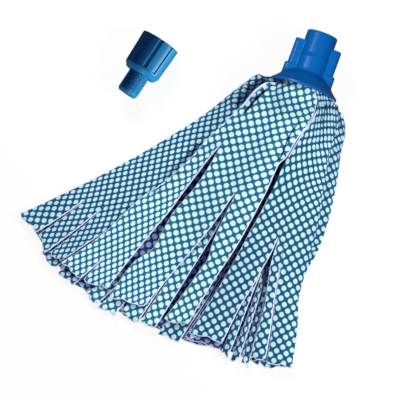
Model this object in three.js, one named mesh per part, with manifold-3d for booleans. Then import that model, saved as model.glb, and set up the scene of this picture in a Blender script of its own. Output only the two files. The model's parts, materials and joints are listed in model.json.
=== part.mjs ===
// Strip mop refill head with its screw-in handle adapter, both lying on a flat surface.
// Millimetres. +Z is up, the socket's mouth points along +Y, the strips fan out along -Y.
// While it is built, the flange's lower face is the plane y = 0, the socket's axis is
// x = 0 and the surface is z = 0; the last lines move the origin to the box's bottom centre.
import * as THREE from 'three';
import { mergeVertices } from 'three/addons/utils/BufferGeometryUtils.js';
import Module from 'manifold-3d';

const wasm = await Module();
wasm.setup();

// ---------- driving dimensions ----------
const fitGap = 0.5;              // clearance between pieces that are assembled together

// socket moulding
const mouthY = 57.5;             // height of the mouth above the flange's lower face
const tubeRadius = 15;
const stepY = 32.5;              // below this the tube is a little fatter
const stepRadius = 15.4;
const tubeFootY = 17.5;          // where the tube meets the dome
const domeTopRadius = 18;
const domeTopY = 15.5;
const flangeRadius = 33.5;
const flangeLip = 2.2;           // height of the flange's upright edge
const domeWall = 2.2;
const lobeReach = 22.8;          // axis to the outer face of a side lobe
const lobeTopY = 46.2;
const lobeDepth = 15;            // size of a lobe across the socket, along Z
const lobeRound = 4;
const lobeFootReach = 25;        // the lobe's wider foot
const lobeFootTopY = 21;
const boreClearance = 0.5;       // socket thread to adapter thread, radial
const boreDepth = 27;
const boreThreadPitch = 3.2;
const boreThreadDepth = 0.7;
const boreThreadTurns = 7;

// clamp plug and clamp ring
const plugFaceY = -3;            // the plug's face towards the strips
const plugRim = 2.5;             // rounding of the plug's head
const plugHeadLength = 8;
const stemRadius = 6.5;
const stemEngagement = 5;        // length of the stem inside the socket's blind hole
const clampRingThickness = 1.9;
const clampRingLength = 6;

// strip fabric
const clothThickness = 1.2;      // one sheet with its loft
const clothPitch = 1.9;          // sheet to sheet where they lie on one another
const clothRestZ = 0.1;          // underside of the lowest sheet
const clampOuterRadius = 27;     // outer face of the outermost sheet in the clamp
const fanPoleY = 45;             // the strips' lines meet near this point of the axis
const clothInset = 4;            // how far the sheets reach into the skirt, past the flange's edge
const squareRows = 23;           // the first rows stay square to the axis over this length
const longestRow = 15;            // mesh rows along a strip are no further apart than this
const pillowHeight = 52;         // how high the upper sheets stand where they leave the dome
const pillowHalfWidth = 100;
const pillowLength = 270;
const ringBlend = 30;            // length over which the clamp's round section opens out

// handle adapter
const collarMouthRadius = 19.4;
const collarShoulderRadius = 18.3;
const collarLength = 37.6;
const shoulderChamfer = 4.6;
const shoulderChamferDepth = 3.2;
const collarBoreRadius = 12.2;
const collarBoreDepth = 33;
const fluteCount = 10;
const fluteWidth = 3;
const fluteDepth = 1.2;
const fluteStop = 3.2;           // the flutes end this far above the chamfer
const firstFluteAngle = 7;       // degrees from the top
const stubRadius = 10.7;
const stubLength = 22.6;
const stubPitch = 1.6;
const stubThreadDepth = 0.6;
const stubLead = 1.6;            // chamfer of the stub's end
const stubRecessRadius = 2.4;
const stubRecessDepth = 1.2;
const adapterCentre = [-150.5, -28];   // where the middle of its length lies
const adapterTurn = -13.3;             // degrees about Z from the mouth pointing along +Y

// worked out from the above
const axisZ = flangeRadius;      // the flange's edge touches the surface
const boreRadius = stubRadius + boreClearance;
const clampRingOuter = clampOuterRadius - clothPitch - clothThickness - fitGap;
const clampRingInner = clampRingOuter - clampRingThickness;
const innerSheetRadius = clampRingInner - fitGap;
const plugRadius = innerSheetRadius - clothPitch - clothThickness - fitGap;
const clampReach = fanPoleY - clothInset;   // pole to the sheets' clamped ends
const domeCeilingY = domeTopY - 1.4 * domeWall;
const stemTopY = domeCeilingY + stemEngagement;

// ---------- materials ----------
function material(name, colour, roughness) {
  return new THREE.MeshStandardMaterial({ name, color: colour, roughness, metalness: 0 });
}
const socketPlastic = material('blue_polypropylene', 0x0a5db5, 0.28);
const adapterPlastic = material('teal_blue_polypropylene', 0x1f6fb4, 0.25);
const clampPlastic = material('white_polypropylene', 0xd9dde2, 0.4);
const dottedCloth = material('dotted_nonwoven', 0x7fb4d2, 0.9);

// ---------- small helpers ----------
const degrees = Math.PI / 180;

function smooth(t) {
  const u = Math.min(1, Math.max(0, t));
  return u * u * (3 - 2 * u);
}

function solidOf(geometry) {
  const bare = geometry.clone();
  bare.deleteAttribute('normal');
  bare.deleteAttribute('uv');
  const merged = mergeVertices(bare, 1e-4);
  return new wasm.Manifold(new wasm.Mesh({
    numProp: 3,
    vertProperties: new Float32Array(merged.attributes.position.array),
    triVerts: new Uint32Array(merged.index.array),
  }));
}

function geometryOf(solid) {
  const mesh = solid.getMesh();
  const geometry = new THREE.BufferGeometry();
  geometry.setAttribute('position', new THREE.BufferAttribute(mesh.vertProperties, 3));
  geometry.setIndex(new THREE.BufferAttribute(mesh.triVerts, 1));
  geometry.computeVertexNormals();
  return geometry;
}

// A solid of revolution about Y from [radius, y] pairs that start and end on the axis
// or close on themselves, listed with the material on the left of the way.
function turned(profile, segments) {
  const points = profile.map(([radius, y]) => new THREE.Vector2(radius, y));
  return new THREE.LatheGeometry(points, segments);
}

function named(name, geometry, surface) {
  const mesh = new THREE.Mesh(geometry, surface);
  mesh.name = name;
  return mesh;
}

// ---------- socket moulding ----------
function boreWall() {
  const wall = [[0, mouthY - boreDepth], [boreRadius, mouthY - boreDepth]];
  for (let turn = boreThreadTurns; turn > 0; turn -= 1) {
    const y = mouthY - turn * boreThreadPitch;
    wall.push([boreRadius, y - 0.5 * boreThreadDepth]);
    wall.push([boreRadius + boreThreadDepth, y + 0.25 * boreThreadPitch]);
    wall.push([boreRadius, y + 0.5 * boreThreadPitch]);
  }
  wall.push([boreRadius, mouthY - 1], [boreRadius + 1, mouthY]);
  return wall;
}

function makeSocket() {
  const mouthRound = 0.8;
  const stemHoleTop = stemTopY + fitGap;
  const shell = turned([
    ...boreWall(),
    [tubeRadius - mouthRound, mouthY], [tubeRadius, mouthY - mouthRound],
    [tubeRadius, stepY], [stepRadius, stepY - 0.6],
    [stepRadius, tubeFootY + 1], [domeTopRadius, domeTopY],
    [0.55 * domeTopRadius + 0.45 * flangeRadius, 0.52 * domeTopY + 0.48 * flangeLip],
    [flangeRadius, flangeLip], [flangeRadius, 0], [flangeRadius - domeWall, 0],
    [flangeRadius - domeWall, 0.6 * flangeLip],
    [domeTopRadius - 1.3 * domeWall, domeCeilingY],
    [stemRadius + fitGap, domeCeilingY],
    [stemRadius + fitGap, stemHoleTop], [0, stemHoleTop],
  ].reverse(), 36);
  let solid = solidOf(shell);
  for (const side of [-1, 1]) {
    solid = solid.add(sideLobe(side, lobeReach, lobeFootTopY - 2, lobeTopY, lobeDepth));
    solid = solid.add(sideLobe(side, lobeFootReach, lobeFootY(), lobeFootTopY, lobeDepth + 2));
  }
  const geometry = geometryOf(solid);
  geometry.translate(0, 0, axisZ);
  return named('socket', geometry, socketPlastic);
}

// The lobe's foot runs down into the dome's wall, not through it.
function lobeFootY() {
  const t = (flangeRadius - lobeFootReach) / (flangeRadius - domeTopRadius);
  return flangeLip + t * (domeTopY - flangeLip) - 0.5;
}

function sideLobe(side, reach, fromY, toY, depth) {
  const root = boreRadius + 0.6 * (tubeRadius - boreRadius);
  const half = depth / 2;
  const outline = new THREE.Shape();
  outline.moveTo(root, -half + 1.5);
  outline.lineTo(reach - lobeRound, -half);
  outline.absarc(reach - lobeRound, -half + lobeRound, lobeRound, -Math.PI / 2, 0, false);
  outline.absarc(reach - lobeRound, half - lobeRound, lobeRound, 0, Math.PI / 2, false);
  outline.lineTo(root, half - 1.5);
  outline.closePath();
  const lobe = new THREE.ExtrudeGeometry(outline, {
    depth: toY - fromY, bevelEnabled: false, curveSegments: 4,
  });
  lobe.rotateX(-Math.PI / 2);
  lobe.translate(0, fromY, 0);
  if (side < 0) lobe.rotateY(Math.PI);
  return solidOf(lobe);
}

// ---------- clamp plug and ring ----------
function makeClampPlug() {
  const headTop = plugFaceY + plugHeadLength;
  const plug = turned([
    [0, plugFaceY], [plugRadius - plugRim, plugFaceY], [plugRadius, plugFaceY + plugRim],
    [plugRadius, headTop - 1], [plugRadius - 1, headTop], [stemRadius, headTop],
    [stemRadius, stemTopY - 1], [stemRadius - 1, stemTopY], [0, stemTopY],
  ], 32);
  plug.translate(0, 0, axisZ);
  return named('clamp_plug', plug, clampPlastic);
}

function makeClampRing() {
  const top = clothInset + fitGap;
  const ring = turned([
    [clampRingInner, top - clampRingLength], [clampRingOuter, top - clampRingLength],
    [clampRingOuter, top], [clampRingInner, top],
    [clampRingInner, top - clampRingLength],
  ], 32);
  ring.translate(0, 0, axisZ);
  return named('clamp_ring', ring, clampPlastic);
}

// ---------- strip sheets ----------
// Every edge is a list of [reach, angle]: millimetres from the fan's pole and degrees from
// the socket's axis line, negative towards -X. A slit starts at one such point and its two
// banks part from there; ends lists each strip's reach at its left and right corner.
const sheets = [
  {
    name: 'strip_sheet_floor_left', layer: 'floor',
    left: [[41, -29], [60, -24], [90, -31], [170, -37.5], [320, -38.5]],
    slits: [
      { start: [150, -30], left: [[320, -32.3]], right: [[320, -31.7]] },
      { start: [180, -24], left: [[320, -26]], right: [[320, -25.4]] },
      { start: [160, -17], left: [[320, -19.8]], right: [[320, -19.2]] },
    ],
    right: [[41, -2], [90, -5], [170, -11], [320, -13.6]],
    ends: [[312, 315], [316, 312], [309, 312], [308, 304]],
  },
  {
    name: 'strip_sheet_floor_right', layer: 'floor',
    left: [[41, 2], [90, -3], [170, -10], [320, -13]],
    slits: [
      { start: [170, -4.6], left: [[320, -6.9]], right: [[320, -6.4]] },
      { start: [150, 2.6], left: [[320, -0.4]], right: [[320, 0.3]] },
      { start: [180, 8], left: [[320, 6.4]], right: [[320, 7]] },
    ],
    right: [[41, 29], [60, 24], [90, 27], [130, 21], [200, 14.6], [320, 13.4]],
    ends: [[304, 300], [300, 297], [292, 296], [300, 303]],
  },
  {
    name: 'strip_sheet_lower_left', layer: 'lower',
    left: [[41, -24], [60, -23], [90, -33], [170, -36.6], [320, -37]],
    slits: [
      { start: [140, -28.4], left: [[320, -30.4]], right: [[320, -29.6]] },
      { start: [165, -22.2], left: [[320, -23.6]], right: [[320, -23]] },
      { start: [190, -15.8], left: [[320, -17]], right: [[320, -16.4]] },
    ],
    right: [[41, -2], [90, -4], [170, -8.6], [320, -11.6]],
    ends: [[316, 312], [310, 312], [306, 303], [301, 300]],
  },
  {
    name: 'strip_sheet_lower_right', layer: 'lower',
    left: [[41, 2], [90, -1], [170, -7.4], [320, -11]],
    slits: [
      { start: [160, -2.4], left: [[320, -4.8]], right: [[320, -4.2]] },
      { start: [185, 3.4], left: [[320, 1.4]], right: [[320, 2]] },
      { start: [150, 9.6], left: [[320, 7.8]], right: [[320, 8.6]] },
    ],
    right: [[41, 24], [60, 23], [90, 30], [130, 23], [200, 16.2], [320, 14]],
    ends: [[300, 297], [296, 292], [290, 294], [297, 301]],
  },
  {
    name: 'strip_sheet_inner_left', layer: 'inner',
    left: [[41, -24], [47, -23.4], [56, -34], [66, -40], [80, -41.5], [120, -38.8], [170, -37.8], [270, -38.4],
      [320, -38]],
    slits: [
      { start: [180, -33.8], left: [[250, -34.3], [320, -34.3]], right: [[250, -33.9], [320, -33.7]] },
      { start: [200, -29.5], left: [[260, -30], [320, -30.2]], right: [[260, -29.5], [320, -29.3]] },
    ],
    right: [[41, -4], [80, -19], [120, -26.6], [170, -25.4], [220, -24.8], [320, -26]],
    ends: [[317, 319], [328, 326], [326, 324]],
  },
  {
    name: 'strip_sheet_inner_right', layer: 'inner',
    left: [[41, 4], [80, -5], [120, -2], [170, -4], [220, -7.8], [270, -8.6], [320, -9.4]],
    slits: [
      { start: [150, -0.2], left: [[200, -1.9], [270, -4.3], [320, -5.8]],
        right: [[200, -0.5], [250, -3.2], [320, -5.3]] },
      { start: [185, 3], left: [[230, -1], [280, -2.2], [320, -2.8]],
        right: [[210, 4.8], [250, 3.4], [320, 1.9]] },
      { start: [200, 8.1], left: [[250, 7.9], [320, 7.5]], right: [[250, 8.9], [320, 9.3]] },
    ],
    right: [[41, 24], [47, 23.4], [56, 33], [66, 39.4], [80, 39.4], [100, 33.2], [128, 28.4], [154, 24.9],
      [192, 20.1], [215, 16.8], [250, 14.5], [320, 12.4]],
    ends: [[311, 308], [303, 296], [305, 309], [307, 306]],
  },
  {
    name: 'strip_sheet_inner_middle', layer: 'inner',
    left: [[41, -19], [80, -23], [120, -22], [170, -20.5], [200, -20.3], [250, -22.4], [320, -24]],
    slits: [
      { start: [205, -18.4], left: [[250, -20.3], [320, -20.9]], right: [[250, -19.9], [320, -20.4]] },
      { start: [160, -15], left: [[250, -16.9], [320, -17.4]], right: [[250, -16.4], [320, -16.8]] },
      { start: [165, -11.5], left: [[250, -13.2], [320, -13.4]], right: [[250, -12.9], [320, -13]] },
    ],
    right: [[41, 14], [80, 8], [120, -4], [150, -8.6], [212, -9.4], [256, -9.9], [320, -10.4]],
    ends: [[321, 322], [322, 319], [313, 313], [309, 308]],
  },
  {
    name: 'strip_sheet_top_left', layer: 'top',
    left: [[41, -31], [50, -35], [58, -42], [66, -46], [80, -45.5], [120, -41.3], [170, -40],
      [220, -40], [270, -40.5], [325, -41.2]],
    slits: [
      { start: [255, -37.3], left: [[290, -37], [325, -37]], right: [[290, -36.6], [325, -36.4]] },
      { start: [245, -33.9], left: [[280, -33.4], [325, -33.3]], right: [[280, -33], [325, -32.7]] },
    ],
    right: [[41, -6], [80, -24], [120, -25], [170, -26.5], [220, -27.6], [270, -29.5], [320, -30.6]],
    ends: [[325, 320], [319, 324], [321, 318]],
  },
  {
    name: 'strip_sheet_top_right', layer: 'top',
    left: [[41, 8], [55, 18.5], [73, 13.9], [86, 8.9], [103, 5.6], [125, 3.8], [141, 2.7],
      [158, 1.8], [172, 0.6], [189, -0.4], [221, -1.6], [262, -3.1], [320, -5]],
    slits: [
      { start: [178, 8.3], left: [[200, 7], [217, 5.7], [235, 4.5], [255, 3.2], [289, 2], [320, 1.2]],
        right: [[186, 8.2], [212, 7.6], [245, 8.2], [289, 7.7], [320, 7.5]] },
      { start: [157, 10.3], left: [[228, 10], [275, 10.3], [320, 10.2]],
        right: [[228, 10.2], [275, 10.6], [320, 10.6]] },
    ],
    right: [[41, 31], [50, 35], [60, 37.4], [72, 34.4], [87, 29.8], [105, 25], [135, 21.8],
      [175, 19], [219, 16.4], [234, 15.7], [265, 15.8], [320, 15]],
    ends: [[296, 294], [301, 300], [302, 305]],
  },
  {
    name: 'strip_sheet_top_middle', layer: 'top',
    left: [[41, -20], [56, -32.5], [73, -35], [90, -32.8], [117, -31.2], [170, -31.2],
      [220, -30], [270, -29.3], [320, -30.2]],
    slits: [
      { start: [275, -25.7], share: 0.05, left: [[320, -26]], right: [[320, -25.4]] },
      { start: [127, -25.8], left: [[150, -25.2], [175, -24.2], [200, -23], [225, -22.4],
        [250, -22.1], [320, -21.2]],
        right: [[150, -24.2], [170, -22.8], [190, -21.5], [218, -20.9], [246, -19.6],
          [270, -20.8], [320, -19.6]] },
      { start: [155, -9.3], left: [[168, -10], [180, -10.3], [215, -11.5], [252, -12.9],
        [300, -14.2]],
        right: [[174, -9.1], [211, -8.4], [226, -7.6], [239, -8], [271, -8.9], [300, -9.8]] },
    ],
    right: [[41, 13], [56, 9.2], [75, 5.4], [92, 2.6], [110, 2], [125, 1.6], [142, 0.8],
      [158, 0.2], [175, -1.1], [205, -2.4], [245, -4.3], [291, -5.4], [320, -6]],
    ends: [[318, 314], [314, 304], [309, 295], [297, 290]],
  },
];

// Layers from the surface up: how far each stands up where it leaves the dome, as a share of
// the top one, and the outer radius of its side sheets in the clamp, below or above the axis.
const layers = {
  floor: { lift: 0, side: -1, radius: clampOuterRadius },
  lower: { lift: 0.36, side: -1, radius: innerSheetRadius },
  inner: { lift: 0.72, side: 1, radius: innerSheetRadius },
  top: { lift: 1, side: 1, radius: clampOuterRadius },
};

const sheetsBelowAxis = sheets.filter(({ layer }) => layers[layer].side < 0).length;

// Value at a reach on a smooth line through [reach, value] points.
function along(points, reach) {
  const last = points.length - 1;
  if (reach <= points[0][0]) return points[0][1];
  if (reach >= points[last][0]) return points[last][1];
  const i = points.findIndex(([r]) => r > reach) - 1;
  const slope = (k) => {
    const a = points[Math.max(0, k - 1)];
    const b = points[Math.min(last, k + 1)];
    return (b[1] - a[1]) / (b[0] - a[0]);
  };
  const [r0, v0] = points[i];
  const [r1, v1] = points[i + 1];
  const span = r1 - r0;
  const t = (reach - r0) / span;
  const h = t * t * (3 - 2 * t);
  return v0 + (v1 - v0) * h
    + span * t * (1 - t) * ((1 - t) * slope(i) - t * slope(i + 1));
}

// The line of a slit before it starts: an even share of the sheet at the clamp, or the
// share it names, which drifts to the slit's first point.
function stemAngle(sheet, index, reach) {
  const { start, share: own } = sheet.slits[index];
  const share = (r, angle) => {
    const from = along(sheet.left, r);
    return (angle - from) / (along(sheet.right, r) - from);
  };
  const first = own ?? (index + 1) / (sheet.slits.length + 1);
  const t = Math.min(1, (reach - clampReach) / (start[0] - clampReach));
  const part = first + (share(start[0], start[1]) - first) * t;
  return THREE.MathUtils.lerp(along(sheet.left, reach), along(sheet.right, reach), part);
}

// Angle of a strip's left (side 0) or right (side 1) edge.
function edgeAngle(sheet, strip, side, reach) {
  const index = strip - 1 + side;
  if (index < 0) return along(sheet.left, reach);
  if (index >= sheet.slits.length) return along(sheet.right, reach);
  const slit = sheet.slits[index];
  if (reach <= slit.start[0]) return stemAngle(sheet, index, reach);
  return along([slit.start, ...(side === 0 ? slit.right : slit.left)], reach);
}

function squareness(reach) {
  return 1 - smooth((reach - clampReach) / squareRows);
}

function planPoint(reach, angle) {
  const turn = angle * degrees;
  const radius = reach / Math.cos(turn) ** squareness(reach);
  return [radius * Math.sin(turn), fanPoleY - radius * Math.cos(turn)];
}

// 1 over a sheet, falling to 0 within a strip's width around it.
function cover(sheet, x, y) {
  const softEdge = 22;
  const angle = Math.atan2(x, fanPoleY - y);
  const radius = Math.hypot(x, fanPoleY - y);
  const reach = radius * Math.cos(angle) ** squareness(radius);
  let nearest = Infinity;
  for (let strip = 0; strip <= sheet.slits.length; strip += 1) {
    const toLeft = edgeAngle(sheet, strip, 0, reach) * degrees - angle;
    const toRight = angle - edgeAngle(sheet, strip, 1, reach) * degrees;
    const past = reach - Math.max(...sheet.ends[strip]);
    nearest = Math.min(nearest, Math.max(toLeft * radius, toRight * radius, past));
  }
  return 1 - smooth(nearest / softEdge);
}

// Height over the axis of the round clamp section, carried on in a straight line beyond it.
function clampArc(radius, x) {
  const edge = 0.85;
  const u = Math.abs(x) / radius;
  if (u < edge) return radius * Math.sqrt(1 - u * u);
  const rise = Math.sqrt(1 - edge * edge);
  return radius * (rise - (edge / rise) * (u - edge));
}

// Lower and upper face of a sheet at a point of the plan.
function sheetHeights(level, x, y) {
  const sheet = sheets[level];
  const layer = layers[sheet.layer];
  let stack = clothRestZ;
  for (let below = 0; below < level; below += 1) {
    stack += clothPitch * cover(sheets[below], x, y);
  }
  const away = Math.hypot(x / pillowHalfWidth, Math.min(0, y) / pillowLength);
  const crownHeight = pillowHeight - clothPitch * (sheets.length - 1);
  const pillow = stack + layer.lift * crownHeight * (1 - smooth(away));
  const middle = sheet.name.endsWith('middle');
  const outer = layer.radius - (middle || sheet.layer === 'floor' ? 0 : clothPitch);
  const inner = outer - clothThickness;
  const radii = layer.side > 0 ? [inner, outer] : [outer, inner];
  const weight = smooth((y - plugFaceY + 1 + ringBlend) / ringBlend);
  return radii.map((radius, face) => {
    const open = pillow + face * clothThickness;
    const arc = axisZ + layer.side * clampArc(radius, x);
    const beside = axisZ + (level - sheetsBelowAxis) * clothPitch + face * clothThickness;
    const clamped = layer.side > 0 ? Math.max(arc, beside) : Math.min(arc, beside);
    return THREE.MathUtils.lerp(open, clamped, weight);
  });
}

// Rows shared by all strips of a sheet: close together where it leaves the clamp.
function sharedRows(sheet) {
  const rows = [];
  let step = 4;
  for (let reach = clampReach; reach < Math.min(...sheet.ends.flat()) - 8; reach += step) {
    rows.push(reach);
    if (reach > 52) step = Math.min(longestRow, step * 1.2);
  }
  return rows;
}

// Rows of one strip as the reaches of its left and right corners: the shared ones, and
// more that turn gradually into its own end.
function stripRows(rows, end) {
  const last = rows.at(-1);
  const extra = Math.ceil((Math.max(...end) - last) / longestRow);
  const more = Array.from({ length: extra }, (_, k) => end.map(
    (reach) => THREE.MathUtils.lerp(last, reach, (k + 1) / extra),
  ));
  return [...rows.map((reach) => [reach, reach]), ...more];
}

function makeSheet(sheet, level) {
  const cells = 2;
  const rows = sharedRows(sheet);
  const bottom = [];
  const top = [];
  const faces = [];
  const known = new Map();
  const vertex = (key, reach, angle) => {
    if (!known.has(key)) {
      const [x, y] = planPoint(reach, angle);
      const [low, high] = sheetHeights(level, x, y);
      known.set(key, top.length / 3);
      bottom.push(x, y, low);
      top.push(x, y, high);
    }
    return known.get(key);
  };
  for (let strip = 0; strip <= sheet.slits.length; strip += 1) {
    const grid = stripRows(rows, sheet.ends[strip]).map((row, r) => {
      const line = [];
      for (let c = 0; c <= cells; c += 1) {
        const t = c / cells;
        const reach = THREE.MathUtils.lerp(...row, t);
        const from = edgeAngle(sheet, strip, 0, reach);
        const to = edgeAngle(sheet, strip, 1, reach);
        const slit = sheet.slits[strip - 1 + c / cells];
        const joined = (c === 0 || c === cells) && slit && reach <= slit.start[0];
        const key = joined ? `slit${strip + c / cells} ${r}` : `${strip} ${c} ${r}`;
        line.push(vertex(key, reach, THREE.MathUtils.lerp(from, to, t)));
      }
      return line;
    });
    for (let r = 0; r + 1 < grid.length; r += 1) {
      for (let c = 0; c < cells; c += 1) {
        const [a, b] = [grid[r][c], grid[r][c + 1]];
        const [d, e] = [grid[r + 1][c], grid[r + 1][c + 1]];
        faces.push([a, d, e], [a, e, b]);
      }
    }
  }
  const geometry = new THREE.BufferGeometry();
  const count = top.length / 3;
  const used = new Set(faces.flatMap(([a, b, c]) => [`${a} ${b}`, `${b} ${c}`, `${c} ${a}`]));
  const index = faces.flatMap(([a, b, c]) => [a, b, c, a + count, c + count, b + count]);
  for (const side of used) {
    const [from, to] = side.split(' ').map(Number);
    if (!used.has(`${to} ${from}`)) {
      index.push(from, from + count, to + count, from, to + count, to);
    }
  }
  geometry.setAttribute('position', new THREE.Float32BufferAttribute([...top, ...bottom], 3));
  geometry.setIndex(index);
  geometry.computeVertexNormals();
  return named(sheet.name, geometry, dottedCloth);
}

// ---------- handle adapter ----------
function stubWall() {
  const tipY = -stubLength;
  const wall = [
    [0, tipY + stubRecessDepth], [stubRecessRadius, tipY + stubRecessDepth],
    [stubRecessRadius, tipY], [stubRadius - stubLead, tipY],
  ];
  const firstRoot = tipY + stubLead;
  const turns = Math.floor((stubLength - stubLead - 0.3) / stubPitch);
  for (let turn = 0; turn < turns; turn += 1) {
    const y = firstRoot + turn * stubPitch;
    wall.push([stubRadius - stubThreadDepth, y], [stubRadius, y + 0.5 * stubPitch]);
  }
  wall.push([stubRadius - stubThreadDepth, firstRoot + turns * stubPitch]);
  wall.push([stubRadius - stubThreadDepth, 0]);
  return wall;
}

function makeAdapter() {
  const mouthRound = 0.8;
  const body = turned([
    ...stubWall(),
    [collarShoulderRadius - shoulderChamferDepth, 0],
    [collarShoulderRadius, shoulderChamfer],
    [collarMouthRadius, collarLength - mouthRound],
    [collarMouthRadius - mouthRound, collarLength],
    [collarBoreRadius + 1, collarLength], [collarBoreRadius, collarLength - 1],
    [collarBoreRadius, collarLength - collarBoreDepth], [0, collarLength - collarBoreDepth],
  ], 40);
  let solid = solidOf(body);
  const taper = Math.atan2(collarMouthRadius - collarShoulderRadius, collarLength - shoulderChamfer);
  const fluteFrom = shoulderChamfer + fluteStop;
  for (let flute = 0; flute < fluteCount; flute += 1) {
    const cutter = new THREE.BoxGeometry(fluteWidth, collarLength, 2 * fluteDepth);
    cutter.translate(0, collarLength / 2, 0);
    cutter.rotateX(taper);
    const wallRadius = THREE.MathUtils.lerp(collarShoulderRadius, collarMouthRadius,
      fluteStop / (collarLength - shoulderChamfer));
    cutter.translate(0, fluteFrom, wallRadius);
    cutter.rotateY((firstFluteAngle + (flute * 360) / fluteCount) * degrees);
    solid = solid.subtract(solidOf(cutter));
  }
  const adapter = named('handle_adapter', geometryOf(solid), adapterPlastic);
  const lying = new THREE.Group();
  const lean = taper;
  const middle = (collarLength - stubLength) / 2;
  adapter.position.set(0, -middle, 0);
  const pitch = new THREE.Group();
  pitch.rotation.x = lean;
  pitch.add(adapter);
  lying.rotation.z = adapterTurn * degrees;
  lying.add(pitch);
  lying.position.set(adapterCentre[0], adapterCentre[1], adapterRestZ(lean, middle));
  return lying;
}

// The collar's side lies on the surface: height of the axis at the middle of the adapter.
function adapterRestZ(lean, middle) {
  const shoulderFromMiddle = shoulderChamfer - middle;
  return collarShoulderRadius * Math.cos(lean) - shoulderFromMiddle * Math.sin(lean);
}

// ---------- the whole refill ----------
const refill = new THREE.Group();
refill.add(makeSocket(), makeClampPlug(), makeClampRing(), makeAdapter());
sheets.forEach((sheet, level) => refill.add(makeSheet(sheet, level)));

const box = new THREE.Box3().setFromObject(refill, true);
const centre = box.getCenter(new THREE.Vector3());
refill.position.set(-centre.x, -centre.y, -box.min.z);

const group = new THREE.Group();
group.add(refill);
export default group;
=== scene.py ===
import json
import math
import bpy
import numpy as np
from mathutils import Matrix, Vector

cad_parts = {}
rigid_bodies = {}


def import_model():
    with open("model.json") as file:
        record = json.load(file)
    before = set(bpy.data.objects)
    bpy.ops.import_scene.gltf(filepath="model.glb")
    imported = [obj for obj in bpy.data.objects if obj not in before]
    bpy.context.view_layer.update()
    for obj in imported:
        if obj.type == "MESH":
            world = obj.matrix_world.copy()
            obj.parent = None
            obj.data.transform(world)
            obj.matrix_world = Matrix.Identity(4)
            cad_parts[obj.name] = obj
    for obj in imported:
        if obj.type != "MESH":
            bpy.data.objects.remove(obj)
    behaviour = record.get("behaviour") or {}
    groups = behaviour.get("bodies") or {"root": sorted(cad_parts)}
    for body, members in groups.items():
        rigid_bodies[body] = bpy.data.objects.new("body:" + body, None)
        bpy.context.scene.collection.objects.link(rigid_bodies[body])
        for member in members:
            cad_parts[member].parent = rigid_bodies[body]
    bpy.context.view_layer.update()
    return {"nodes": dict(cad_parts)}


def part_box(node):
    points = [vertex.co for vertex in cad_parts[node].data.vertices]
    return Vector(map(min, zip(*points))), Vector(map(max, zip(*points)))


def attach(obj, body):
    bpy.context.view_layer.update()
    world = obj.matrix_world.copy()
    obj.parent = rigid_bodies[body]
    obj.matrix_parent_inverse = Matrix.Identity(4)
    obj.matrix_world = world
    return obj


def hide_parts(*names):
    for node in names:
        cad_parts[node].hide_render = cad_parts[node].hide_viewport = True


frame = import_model()
mm = 0.001

# The working frame is in millimetres: its origin lies under the middle of the socket's
# flange, +Y runs along the socket's axis to its mouth, and +Z is up from the table.
socketLow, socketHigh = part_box("socket")
origin = Vector(((socketLow[0] + socketHigh[0]) / 2, socketLow[1], socketLow[2]))


def place(points):
    return np.asarray(points, dtype=float) * mm + np.array(origin)


# 0 up to 0, 1 from 1 on, and an even curve between them.
def smooth(t):
    u = np.clip(t, 0, 1)
    return u * u * (3 - 2 * u)


# The same curve over a length that begins at a start.
def ramp(value, start, length):
    return smooth((value - start) / length)


# The linear values of an sRGB colour.
def linearColour(hexColour):
    values = [int(hexColour[i:i + 2], 16) / 255 for i in (1, 3, 5)]
    return [v / 12.92 if v <= 0.04045 else ((v + 0.055) / 1.055) ** 2.4 for v in values] + [1.0]


def addNode(tree, kind, inputs=None, **settings):
    node = tree.nodes.new(kind)
    for key, value in settings.items():
        setattr(node, key, value)
    for key, value in (inputs or {}).items():
        entry = node.inputs[key]
        if isinstance(value, bpy.types.NodeSocket):
            tree.links.new(value, entry)
        else:
            entry.default_value = value
    return node


# One step of arithmetic in a node tree.
def mathNode(tree, operation, *values, clamp=False):
    return addNode(tree, "ShaderNodeMath", dict(enumerate(values)), operation=operation,
                   use_clamp=clamp).outputs[0]


def newObject(name, mesh):
    piece = bpy.data.objects.new(name, mesh)
    bpy.context.collection.objects.link(piece)
    return piece


def finishMesh(mesh, sharpAngle):
    mesh.shade_smooth()
    mesh.set_sharp_from_angle(angle=math.radians(sharpAngle))


def newMaterial(name):
    material = bpy.data.materials.new(name)
    material.use_nodes = True
    tree = material.node_tree
    tree.nodes.clear()
    shader = addNode(tree, "ShaderNodeBsdfPrincipled")
    addNode(tree, "ShaderNodeOutputMaterial", {"Surface": shader.outputs[0]})
    return material, tree, shader


def noiseNode(tree, where, scale, detail):
    return addNode(tree, "ShaderNodeTexNoise", {
        "Vector": where, "Scale": scale, "Detail": detail}).outputs[0]


def mixNode(tree, factor, first, second):
    return addNode(tree, "ShaderNodeMix", {"Factor": factor, 6: first, 7: second},
                   data_type="RGBA").outputs[2]


# Gives a shader its colour and a fine relief, whose depth is in metres.
def dressShader(tree, shader, colour, strength, depth, relief):
    bump = addNode(tree, "ShaderNodeBump", {
        "Strength": strength, "Distance": depth, "Height": relief})
    tree.links.new(bump.outputs[0], shader.inputs["Normal"])
    if isinstance(colour, bpy.types.NodeSocket):
        tree.links.new(colour, shader.inputs["Base Color"])
    else:
        shader.inputs["Base Color"].default_value = colour


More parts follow.
